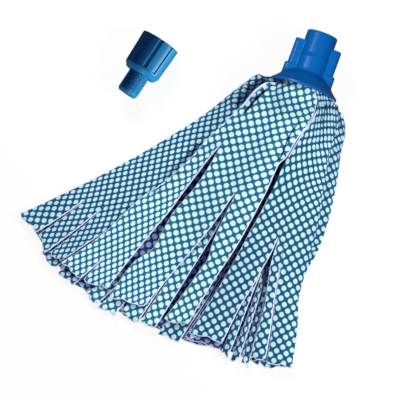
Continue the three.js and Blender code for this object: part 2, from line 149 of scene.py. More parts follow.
# A surface of rows round the Y axis: each row gives a radius and a height for every angle, or
# one number for both, and a row of radius 0 is a pole.
def rowsMesh(name, rows, angles):
    vertices, faces, previous = [], [], None
    count = len(angles)
    for radius, height in rows:
        radius, height = np.broadcast_to(radius, (count,)), np.broadcast_to(height, (count,))
        first = len(vertices)
        if radius.max() < 1e-6:
            vertices.append((0, height[0], 0))
            row = [first] * count
        else:
            vertices.extend(zip(radius * np.sin(angles), height, radius * np.cos(angles)))
            row = list(range(first, first + count))
        if previous:
            for a in range(count):
                b = (a + 1) % count
                corners = dict.fromkeys([previous[a], previous[b], row[b], row[a]])
                faces.append(list(corners))
        previous = row
    mesh = bpy.data.meshes.new(name)
    mesh.from_pydata(vertices, [], faces)
    return mesh


# Moves every point of a mesh with a function of an array of points.
def movePoints(mesh, move):
    points = np.zeros(len(mesh.vertices) * 3)
    mesh.vertices.foreach_get("co", points)
    mesh.vertices.foreach_set("co", np.asarray(move(points.reshape(-1, 3))).ravel())
    mesh.update()


# A tree that takes a mesh, some numbers and a material, and its inputs.
def newTree(name, numbers):
    tree = bpy.data.node_groups.new(name, "GeometryNodeTree")
    kinds = {"Geometry": "Geometry", **dict.fromkeys(numbers, "Float"), "Surface": "Material"}
    for label, kind in kinds.items():
        tree.interface.new_socket(label, in_out="INPUT", socket_type="NodeSocket" + kind)
    tree.interface.new_socket("Geometry", in_out="OUTPUT", socket_type="NodeSocketGeometry")
    return tree, addNode(tree, "NodeGroupInput").outputs


# Ends a tree with real geometry in its material.
def endTree(tree, geometry, surface):
    real = addNode(tree, "GeometryNodeRealizeInstances", {"Geometry": geometry})
    dressed = addNode(tree, "GeometryNodeSetMaterial", {
        "Geometry": real.outputs[0], "Material": surface})
    addNode(tree, "NodeGroupOutput", {"Geometry": dressed.outputs[0]})


# Runs a tree on a mesh and returns the plain mesh that comes out.
def treeResult(tree, mesh, values):
    carrier = newObject("carrier", mesh)
    modifier = carrier.modifiers.new("nodes", "NODES")
    modifier.node_group = tree
    for item in tree.interface.items_tree:
        if item.in_out == "INPUT" and item.name in values:
            modifier[item.identifier] = values[item.name]
    evaluated = carrier.evaluated_get(bpy.context.evaluated_depsgraph_get())
    result = bpy.data.meshes.new_from_object(evaluated)
    carrier.modifiers.clear()
    bpy.data.objects.remove(carrier)
    return result


view = {
    "azimuth": 20,             # degrees round from the front
    "elevation": 83,
    "distance": 2300,
    "height": 381,             # what the frame takes in at the aim point
    "aim": (-56.5, -128.7, 12),
    "sensor": 36,
    "farthest": 20,            # metres, where the camera stops seeing
}


def makeCamera():
    data = bpy.data.cameras.new("camera")
    camera = newObject("camera", data)
    turn = math.radians(view["azimuth"])
    rise = math.radians(view["elevation"])
    level = math.cos(rise)
    away = Vector((math.sin(turn) * level, -math.cos(turn) * level, math.sin(rise)))
    aim = Vector(place(view["aim"]))
    camera.location = aim + away * view["distance"] * mm
    camera.rotation_euler = (math.radians(90 - view["elevation"]), 0, turn)
    data.sensor_width = view["sensor"]
    data.lens = view["sensor"] * view["distance"] / view["height"]
    data.clip_end = view["farthest"]
    bpy.context.scene.camera = camera


makeCamera()
print("camera placed")

# share is the slit's place across the sheet at the clamp, where it isn't an even one.
def slitAt(start, left, right, share=None):
    return {"start": start, "left": left, "right": right, "share": share}


# The strip sheets as they lie, from the lowest to the highest. A point is (reach, angle):
# millimetres from the fan's pole and degrees from the socket's axis line. What changes along
# a sheet is a list of (reach, value).
#   layer        where it lies in the pile
#   cloth        its print, with painted shade in the drawn and under prints, and width the whole sheet's before it was slit and gathered
#   print        the direction that the printed grid's diagonal takes; fan adds to it by strip
#   gather       how narrow the cloth lies against its flat width; draw multiplies it by strip
#   left, right  the sheet's outer edges
#   slits        where each cut starts, and its left and right banks from there
#   ends         each strip's reach at its left and right corner
#   columns      faces across one strip, where they aren't the usual number
#   folded       how far down the left and the right outer edge are turned under
#   hem          a rolled edge on the left of the first strip
#   creases      by strip: shares across it at both ends, half width, depth, and from and to
#   pleats       by strip: count, height, and the reach where they start
sheets = [
    {"name": "strip_sheet_floor_left", "layer": "floor", "cloth": "under", "width": 96,
     "print": [(41, -14)], "gather": [(41, 1)],
     "left": [(41, -29), (60, -24), (90, -31), (170, -37.5), (320, -38.5)],
     "slits": [
         slitAt((150, -30), [(320, -31.4)], [(320, -32.6)]),
         slitAt((180, -24), [(320, -25)], [(320, -26.4)]),
         slitAt((160, -17), [(320, -18.8)], [(320, -20.2)])],
     "right": [(41, -2), (90, -5), (170, -11), (320, -13.6)],
     "ends": [(319, 322), (324, 321), (318, 319), (315, 311)]},
    {"name": "strip_sheet_floor_right", "layer": "floor", "cloth": "under", "width": 92,
     "print": [(41, 2)], "gather": [(41, 1)],
     "left": [(41, 2), (90, -3), (170, -10), (320, -13)],
     "slits": [
         slitAt((170, -4.6), [(320, -6)], [(320, -7.3)]),
         slitAt((150, 2.6), [(320, 0.6)], [(320, -0.7)]),
         slitAt((180, 8), [(320, 7.2)], [(320, 6.2)])],
     "right": [(41, 29), (60, 24), (90, 27), (130, 21), (200, 14.6), (320, 13.4)],
     "ends": [(309, 306), (305, 302), (299, 301), (304, 305)]},
    {"name": "strip_sheet_lower_left", "layer": "lower", "cloth": "under", "width": 94,
     "print": [(41, -16)], "gather": [(41, 1)],
     "left": [(41, -24), (60, -23), (90, -33), (170, -36.6), (320, -37)],
     "slits": [
         slitAt((140, -28.4), [(320, -29.3)], [(320, -30.7)]),
         slitAt((165, -24.4), [(250, -24.6), (320, -23.6)], [(250, -25.2), (320, -25)]),
         slitAt((190, -15.8), [(320, -16)], [(320, -17.4)])],
     "right": [(41, -2), (90, -4), (170, -8.6), (320, -11.6)],
     "ends": [(320, 321), (321, 319), (316, 312), (309, 306)]},
    {"name": "strip_sheet_lower_right", "layer": "lower", "cloth": "under", "width": 92,
     "print": [(41, 2)], "gather": [(41, 1)],
     "left": [(41, 2), (90, -1), (170, -7.4), (320, -11)],
     "slits": [
         slitAt((160, -2.4), [(320, -3.8)], [(320, -5.2)]),
         slitAt((185, 3.4), [(320, 2.4)], [(320, 1)]),
         slitAt((150, 9.6), [(320, 9)], [(320, 7.6)])],
     "right": [(41, 24), (60, 23), (90, 30), (130, 23), (200, 16.2), (320, 14)],
     "ends": [(306, 303), (303, 300), (298, 300), (302, 303)]},
    {"name": "strip_sheet_inner_left", "layer": "inner", "cloth": "drawn", "width": 60,
     "print": [(41, -22)], "gather": [(41, 0.8)],
     "left": [(41, -24), (47, -23.4), (56, -34), (66, -40), (80, -41.5), (120, -38.8),
              (170, -37.8), (270, -38.4), (320, -38)],
     "slits": [
         slitAt((180, -33.8), [(250, -34.3), (320, -34.3)], [(250, -33.9), (320, -33.7)]),
         slitAt((200, -29.5), [(260, -30), (320, -30.2)], [(260, -29.5), (320, -29.3)])],
     "right": [(41, -4), (80, -19), (120, -26.6), (170, -25.4), (220, -24.8), (320, -26)],
     "ends": [(317, 319), (328, 326), (326, 324)]},
    {"name": "strip_sheet_inner_right", "layer": "inner", "cloth": "drawn", "width": 92,
     "columns": 20, "pleats": {2: (1, 5, 205), 3: (1, 5, 212), 4: (1, 5, 205)},
     "print": [(41, -8), (120, 0), (200, 4)], "gather": [(41, 0.7), (120, 0.8), (200, 0.9)],
     "left": [(41, 4), (80, -5), (120, -2), (170, -4), (220, -7.8), (270, -8.6), (320, -9.4)],
     "slits": [
         slitAt((150, -0.2), [(200, -1.9), (270, -4.3), (320, -5.8)],
                [(200, -0.5), (250, -3.2), (320, -5.3)]),
         slitAt((185, 3), [(230, -1), (280, -2.2), (320, -2.8)],
                [(210, 4.8), (250, 3.4), (320, 1.9)]),
         slitAt((214, 5.9), [(235, 5.1), (260, 4.5), (320, 3.3)],
                [(235, 5.7), (260, 5.2), (320, 4)]),
         slitAt((206, 7.1), [(235, 6.7), (260, 6.3), (320, 5.3)],
                [(235, 7.2), (260, 6.9), (320, 6)]),
         slitAt((200, 8.1), [(250, 7.9), (320, 7.5)], [(250, 8.9), (320, 9.3)])],
     "right": [(41, 24), (47, 23.4), (56, 33), (66, 39.4), (80, 39.4), (100, 33.2), (128, 28.4),
               (154, 24.9), (192, 20.1), (215, 16.8), (250, 14.5), (320, 12.4)],
     "ends": [(311, 308), (303, 296), (302, 306), (309, 305), (306, 310), (307, 306)]},
    {"name": "strip_sheet_inner_middle", "layer": "inner", "cloth": "plain", "width": 60,
     "print": [(41, -12)], "gather": [(41, 0.9)],
     "left": [(41, -19), (80, -23), (120, -22), (160, -20.5), (185, -19.2), (220, -18.9),
              (262, -19.4), (285, -21.6), (320, -23.6)],
     "slits": [
         slitAt((262, -18.3), [(290, -20), (320, -20.9)], [(290, -19.6), (320, -20.4)]),
         slitAt((160, -15), [(250, -16.9), (320, -17.4)], [(250, -16.4), (320, -16.8)]),
         slitAt((165, -11.5), [(250, -13.2), (320, -13.4)], [(250, -12.9), (320, -13)])],
     "right": [(41, 14), (80, 8), (120, -4), (150, -8.6), (212, -9.4), (256, -9.9), (320, -10.4)],
     "ends": [(321, 322), (322, 319), (313, 313), (309, 308)]},
    {"name": "strip_sheet_top_left", "layer": "top", "cloth": "drawn", "width": 60,
     "print": [(95, -20), (137, -26), (171, -22), (230, -24), (266, -30), (300, -34)],
     "gather": [(95, 0.95), (137, 0.8), (171, 0.67), (232, 0.67), (266, 0.6), (300, 0.55)],
     "draw": {0: [(245, 1), (275, 1.2), (300, 1.45), (325, 1.6)], 1: [(255, 1), (300, 1.15)]},
     "left": [(41, -31), (46, -38), (51, -41.5), (58, -44), (66, -45.8), (80, -45.5),
              (120, -41.3), (170, -40), (220, -40), (270, -40.5), (325, -41.2)],
     "slits": [
         slitAt((255, -37.3), [(290, -37), (325, -37)], [(290, -36.6), (325, -36.4)]),
         slitAt((245, -33.9), [(280, -33.4), (325, -33.3)], [(280, -33), (325, -32.7)])],
     "right": [(41, -6), (80, -24), (120, -25), (170, -26.5), (220, -27.6), (270, -29.5),
               (320, -30.6)],
     "ends": [(325, 320), (319, 324), (321, 318)]},
    {"name": "strip_sheet_top_right", "layer": "top", "cloth": "drawn", "width": 66,
     "columns": 22, "folded": (150, 232),
     "hem": {"reach": (62, 112), "width": 0.6, "height": 1},
     "print": [(68, -20), (117, -14), (145, 1), (175, 4), (260, 4)],
     "gather": [(60, 0.62), (90, 0.7), (120, 0.8), (150, 0.9), (200, 0.95)],
     "left": [(41, 8), (55, 18.5), (73, 13.9), (86, 8.9), (103, 5.6), (115, 3.9), (126, 3),
              (136, 2.6), (148, 1.8), (162, 1.1), (174, 0.4), (189, -0.4), (221, -1.6),
              (262, -3.1), (320, -5)],
     "slits": [
         slitAt((178, 8.3), [(200, 7), (217, 5.7), (235, 4.5), (255, 3.2), (289, 2), (320, 1.2)],
                [(186, 8.2), (212, 7.6), (245, 8.2), (289, 7.7), (320, 7.5)]),
         slitAt((157, 10.3), [(228, 10), (275, 10.3), (320, 10.2)],
                [(228, 10.2), (275, 10.6), (320, 10.6)])],
     "right": [(41, 31), (50, 35), (60, 37.4), (72, 34.4), (87, 29.8), (105, 25), (135, 21.8),
               (175, 19), (219, 16.4), (234, 15.7), (265, 15.8), (320, 15)],
     "ends": [(296, 294), (301, 300), (302, 305)]},
    {"name": "strip_sheet_top_middle", "layer": "top", "cloth": "plain", "width": 96,
     "columns": 20, "print": [(60, -16), (300, -14)], "fan": [0, 0, 0, 13],
     "gather": [(41, 0.9), (70, 1), (220, 1), (300, 0.85)],
     "draw": {0: [(170, 1), (215, 0.85), (260, 0.75), (320, 0.8)],
              1: [(132, 1), (148, 0.65), (190, 0.63), (240, 0.68), (285, 0.74)],
              2: [(225, 1), (255, 0.85), (300, 0.8)]},
     "left": [(41, -20), (56, -32.5), (73, -35), (90, -32.8), (117, -31.4), (142, -30.6),
              (156, -29.6), (178, -29.2), (200, -29.5), (220, -30), (270, -29.3), (320, -30.2)],
     "slits": [
         slitAt((275, -25.7), [(320, -26)], [(320, -25.4)], share=0.05),
         slitAt((127, -25.2), [(140, -25), (152, -24.6), (166, -24), (190, -23.2), (206, -22.6),
                 (225, -22.4), (250, -22.1), (320, -21.2)],
                [(142, -23.7), (153, -22.7), (167, -21.9), (180, -21.6), (206, -21.6),
                 (222, -20.8), (246, -19.6), (270, -20.8), (320, -19.6)]),
         slitAt((155, -9.3), [(168, -10), (180, -10.3), (215, -11.5), (252, -12.9), (300, -14.2)],
                [(174, -9.1), (211, -8.4), (226, -7.6), (239, -8), (271, -8.9), (300, -9.8)])],
     "hem": {"reach": (59, 94), "width": 1.5, "height": 1.4},
     "creases": {1: ((0.12, 0.12), 0.065, 14, (60, 98)), 3: ((0.35, 0.85), 0.05, 8, (72, 122))},
     "right": [(41, 13), (56, 17.2), (75, 12.8), (90, 7.3), (104, 4.8), (112, 3.6), (118, 1.6),
               (130, 0.8), (146, 0.3), (161, -0.5), (177, -1.2), (205, -2.4), (245, -4.3),
               (291, -5.4), (320, -6)],
     "ends": [(318, 314), (314, 304), (309, 295), (297, 290)]},
]

pile = {
    "poleY": 45,               # the strips' lines meet near this point of the axis
    "clampReach": 41,
    "squareRows": 23,          # length over which the rows turn from straight to round
    "axisZ": 33.5,
    "restZ": 0.1,
    "pitch": 1.9,              # sheet to sheet
    "thickness": 1.2,          # what the pile leaves for one sheet
    "height": 52,
    "halfWidth": 100,
    "length": 270,
    "plugFaceY": -3,
    "ringBlend": 30,           # length over which the round clamp section spreads out
    "softEdge": 22,            # how far round a sheet it still lifts the next one
    "outerRadius": 27,
    "innerRadius": 21.0,
    "arcEdge": 0.85,           # share of its radius from which a clamped sheet runs straight
    "farReach": 400,           # past the end of every strip
}
# How far each layer stands up where it leaves the socket, the side of the axis it starts on
# and the clamp radius of its outer face.
layers = {
    "floor": (0, -1, pile["outerRadius"]),
    "lower": (0.36, -1, pile["innerRadius"]),
    "inner": (0.72, 1, pile["innerRadius"]),
    "top": (1, 1, pile["outerRadius"]),
}
sheetsBelowAxis = sum(layers[sheet["layer"]][1] < 0 for sheet in sheets)


# The value at each reach on a smooth line through (reach, value) points.
def along(points, reach):
    knots = np.array([p[0] for p in points], dtype=float)
    values = np.array([p[1] for p in points], dtype=float)
    before = np.maximum(np.arange(len(knots)) - 1, 0)
    after = np.minimum(np.arange(len(knots)) + 1, len(knots) - 1)
    slopes = (values[after] - values[before]) / (knots[after] - knots[before])
    i = np.clip(np.searchsorted(knots, reach, side="right") - 1, 0, len(knots) - 2)
    span = knots[i + 1] - knots[i]
    t = np.clip((reach - knots[i]) / span, 0, 1)
    bend = span * t * (1 - t) * ((1 - t) * slopes[i] - t * slopes[i + 1])
    return values[i] + (values[i + 1] - values[i]) * smooth(t) + bend


# The same line, held at its last value past its end.
def alongHeld(points, reach):
    return along([*points, (pile["farReach"], points[-1][1])], reach)


# The same line with 0 before its start and past its end.
def alongPart(points, reach):
    return along([(0, 0), *points, (pile["farReach"], 0)], reach)


# A slit's line before it starts: its share of the sheet drifts from the clamp to its start.
def stemAngle(sheet, index, reach):
    slit = sheet["slits"][index]
    start = slit["start"]
    left = along(sheet["left"], start[0])
    right = along(sheet["right"], start[0])
    share = slit["share"] or (index + 1) / (len(sheet["slits"]) + 1)
    t = np.minimum(1, (reach - pile["clampReach"]) / (start[0] - pile["clampReach"]))
    share = share + ((start[1] - left) / (right - left) - share) * t
    outer = along(sheet["left"], reach)
    return outer + (along(sheet["right"], reach) - outer) * share


def edgeAngle(sheet, strip, side, reach):
    index = strip - 1 + side
    if index < 0:
        return along(sheet["left"], reach)
    if index >= len(sheet["slits"]):
        return along(sheet["right"], reach)
    slit = sheet["slits"][index]
    bank = slit["right"] if side == 0 else slit["left"]
    return np.where(reach <= slit["start"][0], stemAngle(sheet, index, reach),
                    along([slit["start"], *bank], reach))


def squareness(reach):
    return 1 - ramp(reach, pile["clampReach"], pile["squareRows"])


def planPoint(reach, angle):
    turn = np.radians(angle)
    radius = reach / np.cos(turn) ** squareness(reach)
    return radius * np.sin(turn), pile["poleY"] - radius * np.cos(turn)


# 1 over a sheet, falling to 0 within a strip's width around it.
def cover(sheet, x, y):
    angle = np.arctan2(x, pile["poleY"] - y)
    radius = np.hypot(x, pile["poleY"] - y)
    reach = radius * np.cos(angle) ** squareness(radius)
    nearest = np.full(np.shape(x), np.inf)
    for strip, end in enumerate(sheet["ends"]):
        toLeft = np.radians(edgeAngle(sheet, strip, 0, reach)) - angle
        toRight = angle - np.radians(edgeAngle(sheet, strip, 1, reach))
        outside = np.maximum(np.maximum(toLeft * radius, toRight * radius), reach - max(end))
        nearest = np.minimum(nearest, outside)
    return 1 - smooth(nearest / pile["softEdge"])


# Height over the axis of the round clamp section, carried on straight beyond it.
def clampArc(radius, x):
    edge = pile["arcEdge"]
    u = np.abs(x) / radius
    rise = math.sqrt(1 - edge * edge)
    return radius * np.where(u < edge, np.sqrt(np.maximum(1 - u * u, 0)),
                             rise - (edge / rise) * (u - edge))


# Height of the middle of a sheet's thickness.
def sheetHeight(level, x, y):
    sheet = sheets[level]
    lift, side, layerRadius = layers[sheet["layer"]]
    stack = np.full(np.shape(x), pile["restZ"])
    for below in range(level):
        stack += pile["pitch"] * cover(sheets[below], x, y)
    away = np.hypot(x / pile["halfWidth"], np.minimum(0, y) / pile["length"])
    crown = pile["height"] - pile["pitch"] * (len(sheets) - 1)
    middle = 0.5 * pile["thickness"]
    spread = stack + lift * crown * (1 - smooth(away)) + middle
    outermost = sheet["name"].endswith("middle") or sheet["layer"] == "floor"
    radius = layerRadius - (0 if outermost else pile["pitch"]) - middle
    arc = pile["axisZ"] + side * clampArc(radius, x)
    past = pile["axisZ"] + (level - sheetsBelowAxis) * pile["pitch"] + middle
    clamped = np.maximum(arc, past) if side > 0 else np.minimum(arc, past)
    weight = smooth((y - pile["plugFaceY"] + 1 + pile["ringBlend"]) / pile["ringBlend"])
    return spread + (clamped - spread) * weight


cloth = {
    "thickness": 0.8,
    "packed": 1.05,            # thicknesses from sheet to sheet where the pile is pressed down
    "rowStep": 3.0,
    "columns": 10,             # faces across one strip, without its two cut edges
    "ownRows": 8,              # the strips' own rows begin this far before the shortest end
    "cutWidth": 0.7,           # the cut edges are pressed thin over this width
    "leftCut": 0.3,            # and the left ones over this share of it
    "cutDrop": 0.35,
    "taper": 12,               # length over which a slit's edges come free
    "billow": 1.8,             # how far a loose strip of the top layer arches up
    "lip": (0.9, 0.16),        # how far a cut edge turns up, over this share of its strip
    "overlap": (0.9, 190, 60),  # height, start and growth of the lower strips' overlaps
    "curl": (1.1, 22),         # mean height of the ends' curl, and the length that it takes
    "hemTaper": 8,
    "creaseTaper": 10,
    "pleatTaper": 30,
    "ragged": 20,              # the length over which the ends' unevenness fades
    "headroom": (1.2, 12),     # thicknesses off the pitch under a sheet, and mm where none lies
}
# Gathers at the clamp: where they begin and fade, and the angle from which they are strong.
waves = {"begin": (46, 14), "fade": (90, 60), "fineFade": (78, 60), "strong": (8, 12)}


def rowPlan(sheet):
    shortest = min(min(end) for end in sheet["ends"])
    shared = np.arange(pile["clampReach"], shortest - cloth["ownRows"], cloth["rowStep"])
    plans = []
    for left, right in sheet["ends"]:
        count = max(1, round((max(left, right) - shared[-1]) / cloth["rowStep"]))
        tail = np.linspace((shared[-1], shared[-1]), (left, right), count + 1)[1:]
        cut = np.array([[left, right]]) - cloth["cutWidth"]
        plans.append(np.concatenate([np.stack([shared, shared], 1), tail[:-1], cut, tail[-1:]]))
    return len(shared), plans


# Where the pile opens: a line down the gap, the first level that isn't pushed aside there,
# the share of its height that the cloth below gives way along it, and half the gap's width.
openings = [
    {"line": [(127, -25.2), (150, -23.7), (175, -22.7), (200, -22.2), (225, -21.6),
              (250, -21), (290, -21)],
     "under": 9, "give": [(120, 0), (136, 0.98), (200, 0.98), (250, 0.95), (275, 0.85), (305, 0.3)],
     "half": 7.5},
    {"line": [(50, -30), (60, -34.6), (73, -36.6), (90, -34.6), (104, -33)],
     "under": 9, "give": [(50, 0), (60, 0.5), (92, 0.45), (104, 0)], "half": 3.6},
    {"line": [(58, -27.5), (73, -31), (98, -29.6)],
     "under": 9, "give": [(54, 0), (62, 0.4), (94, 0.4), (102, 0)], "half": 4},
    {"line": [(70, 5.5), (92, 3.2), (110, 2), (128, 1)],
     "under": 8, "give": [(62, 0), (76, 0.24), (122, 0.24), (132, 0)], "half": 4.5},
    {"line": [(165, -9.3), (211, -8.8), (230, -8.4), (256, -9.3), (290, -10.2)],
     "under": 6, "give": [(185, 0), (208, 0.9), (262, 0.9), (290, 0.2)], "half": 5},
    {"line": [(114, 2.5), (130, 1.8), (148, 1), (165, 0.2), (190, -1.1), (212, -1.9), (240, -2.9),
              (280, -4.4)],
     "under": 8, "give": [(104, 0), (114, 0.85), (225, 0.9), (250, 0.5), (285, 0)], "half": 5},
    {"line": [(140, -30.5), (160, -30.2), (180, -30), (200, -30), (220, -30)],
     "under": 9, "give": [(140, 0), (152, 0.96), (190, 0.96), (216, 0)], "half": 3.2},
    {"line": [(140, -30.4), (170, -29.6), (205, -29), (235, -28.6)],
     "under": 10, "give": [(175, 0), (190, 0.4), (205, 0.5), (232, 0)], "half": 2.4},
    {"line": [(60, 38.6), (72, 35.8), (87, 31), (105, 26.2), (135, 22.8), (175, 19.9), (225, 16.8)],
     "under": 8, "give": [(60, 0), (90, 0.2), (205, 0.35), (228, 0)], "half": 3.5},
    {"line": [(178, 8.3), (200, 7.4), (212, 7.1), (231, 7.4), (245, 7.6), (289, 6.9)],
     "under": 8, "give": [(180, 0), (196, 0.95), (275, 0.95), (300, 0.7)], "half": 4.5},
]

# The pile's two sides fall off round over this width, as far as fade says at each reach.
sides = {"width": 20, "roundness": 0.97, "fade": [(55, 0), (85, 1), (240, 1), (300, 0)]}


# 1 on a line, falling to nothing beside it.
def beside(line, reach, angle, half):
    away = np.radians(angle - along(line, reach)) * reach / half
    return np.exp(-away * away)


def sideFall(reach, angle):
    leftmost = np.min([along(sheet["left"], reach) for sheet in sheets], axis=0)
    rightmost = np.max([along(sheet["right"], reach) for sheet in sheets], axis=0)
    inwards = np.radians(np.minimum(angle - leftmost, rightmost - angle)) * reach
    short = 1 - np.clip(inwards / sides["width"], 0, 1)
    fade = alongPart(sides["fade"], reach)
    return 1 - fade * (1 - np.sqrt(1 - sides["roundness"] * short * short))


# The pile's height once its gaps are opened and its sides have fallen off.
def settled(level, z, reach, angle, x, y):
    for opening in openings:
        if level < opening["under"]:
            give = alongPart(opening["give"], reach)
            near = beside(opening["line"], reach, angle, opening["half"])
            z = z * (1 - np.clip(give, 0, 1) * near)
    z = z * sideFall(reach, angle)
    # pushed aside, the sheets still lie on one another
    below = sum(cover(lower, x, y) for lower in sheets[:level])
    return np.maximum(z, 0.6 * cloth["thickness"] + below * cloth["packed"] * cloth["thickness"])


# Gathers that run out from the clamp, the same for the whole pile, so that no sheet meets
# the next one: strong on the right, where the cloth is drawn together.
def gathers(reach, angle):
    strength = 0.25 + 0.75 * ramp(angle, *waves["strong"])
    strength = strength * ramp(reach, *waves["begin"]) * (1 - ramp(reach, *waves["fade"]))
    wave = np.sin(np.radians(angle) * 30) + 0.5 * np.sin(np.radians(angle) * 47 + 1.3)
    fine = np.sin(np.radians(angle) * 110) * (1 - ramp(reach, *waves["fineFade"]))
    return strength * (0.8 * wave + 1.1 * fine)


# 1 along an edge that is cut and lies open, 0 where the strip meets or hides the next one.
def cutFree(sheet, strip, side, reach):
    slit = strip - 1 + side
    if slit < 0 or slit >= len(sheet["slits"]):
        return ramp(reach, sheet.get("folded", (-10, -10))[side], 10)
    gap = edgeAngle(sheet, slit + 1, 0, reach) - edgeAngle(sheet, slit, 1, reach)
    started = ramp(reach, sheet["slits"][slit]["start"][0], cloth["taper"])
    return started * ramp(np.abs(np.radians(gap) * reach), 0.3, 1.2)


# 1 along a stretch of the reach, tapering off at both of its ends.
def stretch(reach, first, last, taper):
    return ramp(reach, first, taper) * smooth((last - reach) / taper)


# A sharp crease that runs down a strip for a while.
def creaseDepth(sheet, strip, across, reach):
    if strip not in sheet.get("creases", {}):
        return 0
    path, half, depth, span = sheet["creases"][strip]
    at = np.interp(reach, span, path)
    part = stretch(reach, *span, cloth["creaseTaper"])
    return part * depth * np.exp(-((across - at) / half) ** 2)


# How far a strip's own folds lift it above its place in the pile.
def stripShape(sheet, level, strip, across, reach, width):
    leftFree = cutFree(sheet, strip, 0, reach)
    rightFree = cutFree(sheet, strip, 1, reach)
    lift = np.zeros(np.shape(reach))
    if sheet["layer"] == "top":
        lift = lift + leftFree * rightFree * cloth["billow"] * (1 - (2 * across - 1) ** 2)
    lip, lipShare = cloth["lip"]
    lift = lift + leftFree * lip * (1 - smooth(across / lipShare))
    lift = lift + rightFree * lip * ramp(across, 1 - lipShare, lipShare)
    hem = sheet.get("hem")
    if hem and strip == 0:
        roll = np.clip(across * width / hem["width"], 0, 1)
        uneven = 1 + 0.35 * np.sin(0.75 * reach) + 0.25 * np.sin(1.9 * reach + 1)
        part = stretch(reach, *hem["reach"], cloth["hemTaper"])
        lift = lift + part * uneven * hem["height"] * np.sin(np.pi * roll)
    pleats = sheet.get("pleats", {}).get(strip)
    if pleats:
        count, height, first = pleats
        phase = across * count
        ridge = 1 - np.abs(2 * (phase - np.floor(phase)) - 1)
        lift = lift + height * ramp(reach, first, cloth["pleatTaper"]) * ridge
    # in the lower sheets every other strip lies over its neighbours' edges
    if sheet["layer"] in ("floor", "lower") and strip % 2:
        height, start, growth = cloth["overlap"]
        lift = lift + height * ramp(reach, start, growth)
    height, length = cloth["curl"]
    curl = math.sin(7.3 * level + 2.9 * strip)
    return lift + (height + curl) * smooth((reach - np.max(reach[-1]) + length) / length)


# Each strip of a sheet as a grid of points, with where they lie on the sheet.
def stripGrids(sheet, level):
    sharedCount, plans = rowPlan(sheet)
    count = sheet.get("columns", cloth["columns"])
    grids = []
    for strip, plan in enumerate(plans):
        leftReach, rightReach = plan[:, :1], plan[:, 1:]
        turn = edgeAngle(sheet, strip, 1, rightReach) - edgeAngle(sheet, strip, 0, leftReach)
        width = np.radians(turn) * leftReach
        cut = np.clip(cloth["cutWidth"] / width, 0.01, 0.3)
        leftCut = cloth["leftCut"]
        across = leftCut * cut + (1 - (1 + leftCut) * cut) * np.linspace(0, 1, count + 1)
        across = np.concatenate([np.zeros_like(cut), across, np.ones_like(cut)], axis=1)
        reach = leftReach + (rightReach - leftReach) * across
        # the ends are cut unevenly
        phase = 2.9 * strip + 1.7 * level
        ragged = 1.1 * np.sin(7 * across + phase) + 0.5 * np.sin(17 * across + 2 * phase)
        fade = cloth["ragged"]
        reach = reach + ragged * smooth((reach - reach[-1:] + fade) / fade)
        left = edgeAngle(sheet, strip, 0, reach)
        right = edgeAngle(sheet, strip, 1, reach)
        angle = left + (right - left) * across
        x, y = planPoint(reach, angle)
        z = settled(level, sheetHeight(level, x, y), reach, angle, x, y) + gathers(reach, angle)
        # where another sheet lies over it, a fold can only fill the room below that
        covered = np.zeros(np.shape(x))
        for above in sheets[level + 1:]:
            covered = np.maximum(covered, cover(above, x, y))
        kept, clear = cloth["headroom"]
        headroom = pile["pitch"] - kept * cloth["thickness"] + clear * (1 - covered)
        z = z + np.minimum(stripShape(sheet, level, strip, across, reach, width), headroom)
        # the cut edges are pressed thin, and they and the hem show the unprinted cloth
        surface = np.zeros(np.shape(across), dtype=int)
        hem = sheet.get("hem")
        if hem and strip == 0:
            part = stretch(reach, *hem["reach"], cloth["hemTaper"])
            surface[(across * width < hem["width"]) & (part > 0.3)] = 1
        for side, column, face in ((0, 0, 0), (1, -1, -2)):
            free = cutFree(sheet, strip, side, reach[:, column])
            z[:, column] -= cloth["cutDrop"] * free
            surface[free > 0.1, face] = 2
        z[-1] -= cloth["cutDrop"]
        surface[-2] = 2
        z = np.maximum(z, 0.5 * cloth["thickness"] + 0.1)
        creased = z - creaseDepth(sheet, strip, across, reach)
        grids.append({"reach": reach, "across": across, "laid": np.stack([x, y, z], 2),
                      "points": np.stack([x, y, creased], 2), "surface": surface})
    return sharedCount, grids


# Steps over the lying cloth as steps over its flat print: true to length on a slope, drawn
# apart again where the cloth is gathered across, and turned into the print's direction.
def printSteps(steps, direction, gather, printAngle):
    plan = steps[..., :2]
    flat = np.linalg.norm(plan, axis=-1)
    slope = np.linalg.norm(steps, axis=-1) / np.maximum(flat, 1e-6)
    c, s = np.sin(direction), -np.cos(direction)
    lengthwise = plan[..., 0] * c + plan[..., 1] * s
    crosswise = (plan[..., 0] * -s + plan[..., 1] * c) / gather
    turn = direction - printAngle
    return np.stack([lengthwise * np.sin(turn) + crosswise * np.cos(turn),
                     lengthwise * np.cos(turn) - crosswise * np.sin(turn)], -1) * slope[..., None]


# Adds steps up over rows of points, down the row's centre and outwards from it.
def unrolled(points, direction, gather, printAngle, centre, start):
    down = printSteps(np.diff(points[:, centre], axis=0), direction[1:, centre],
                      gather[1:, centre], printAngle[1:, centre])
    spine = np.concatenate([[start], start + np.cumsum(down, axis=0)])
    out = printSteps(np.diff(points, axis=1), direction[:, 1:], gather[:, 1:], printAngle[:, 1:])
    run = np.concatenate([np.zeros((len(points), 1, 2)), np.cumsum(out, axis=1)], axis=1)
    return spine[:, None] + run - run[:, centre:centre + 1]


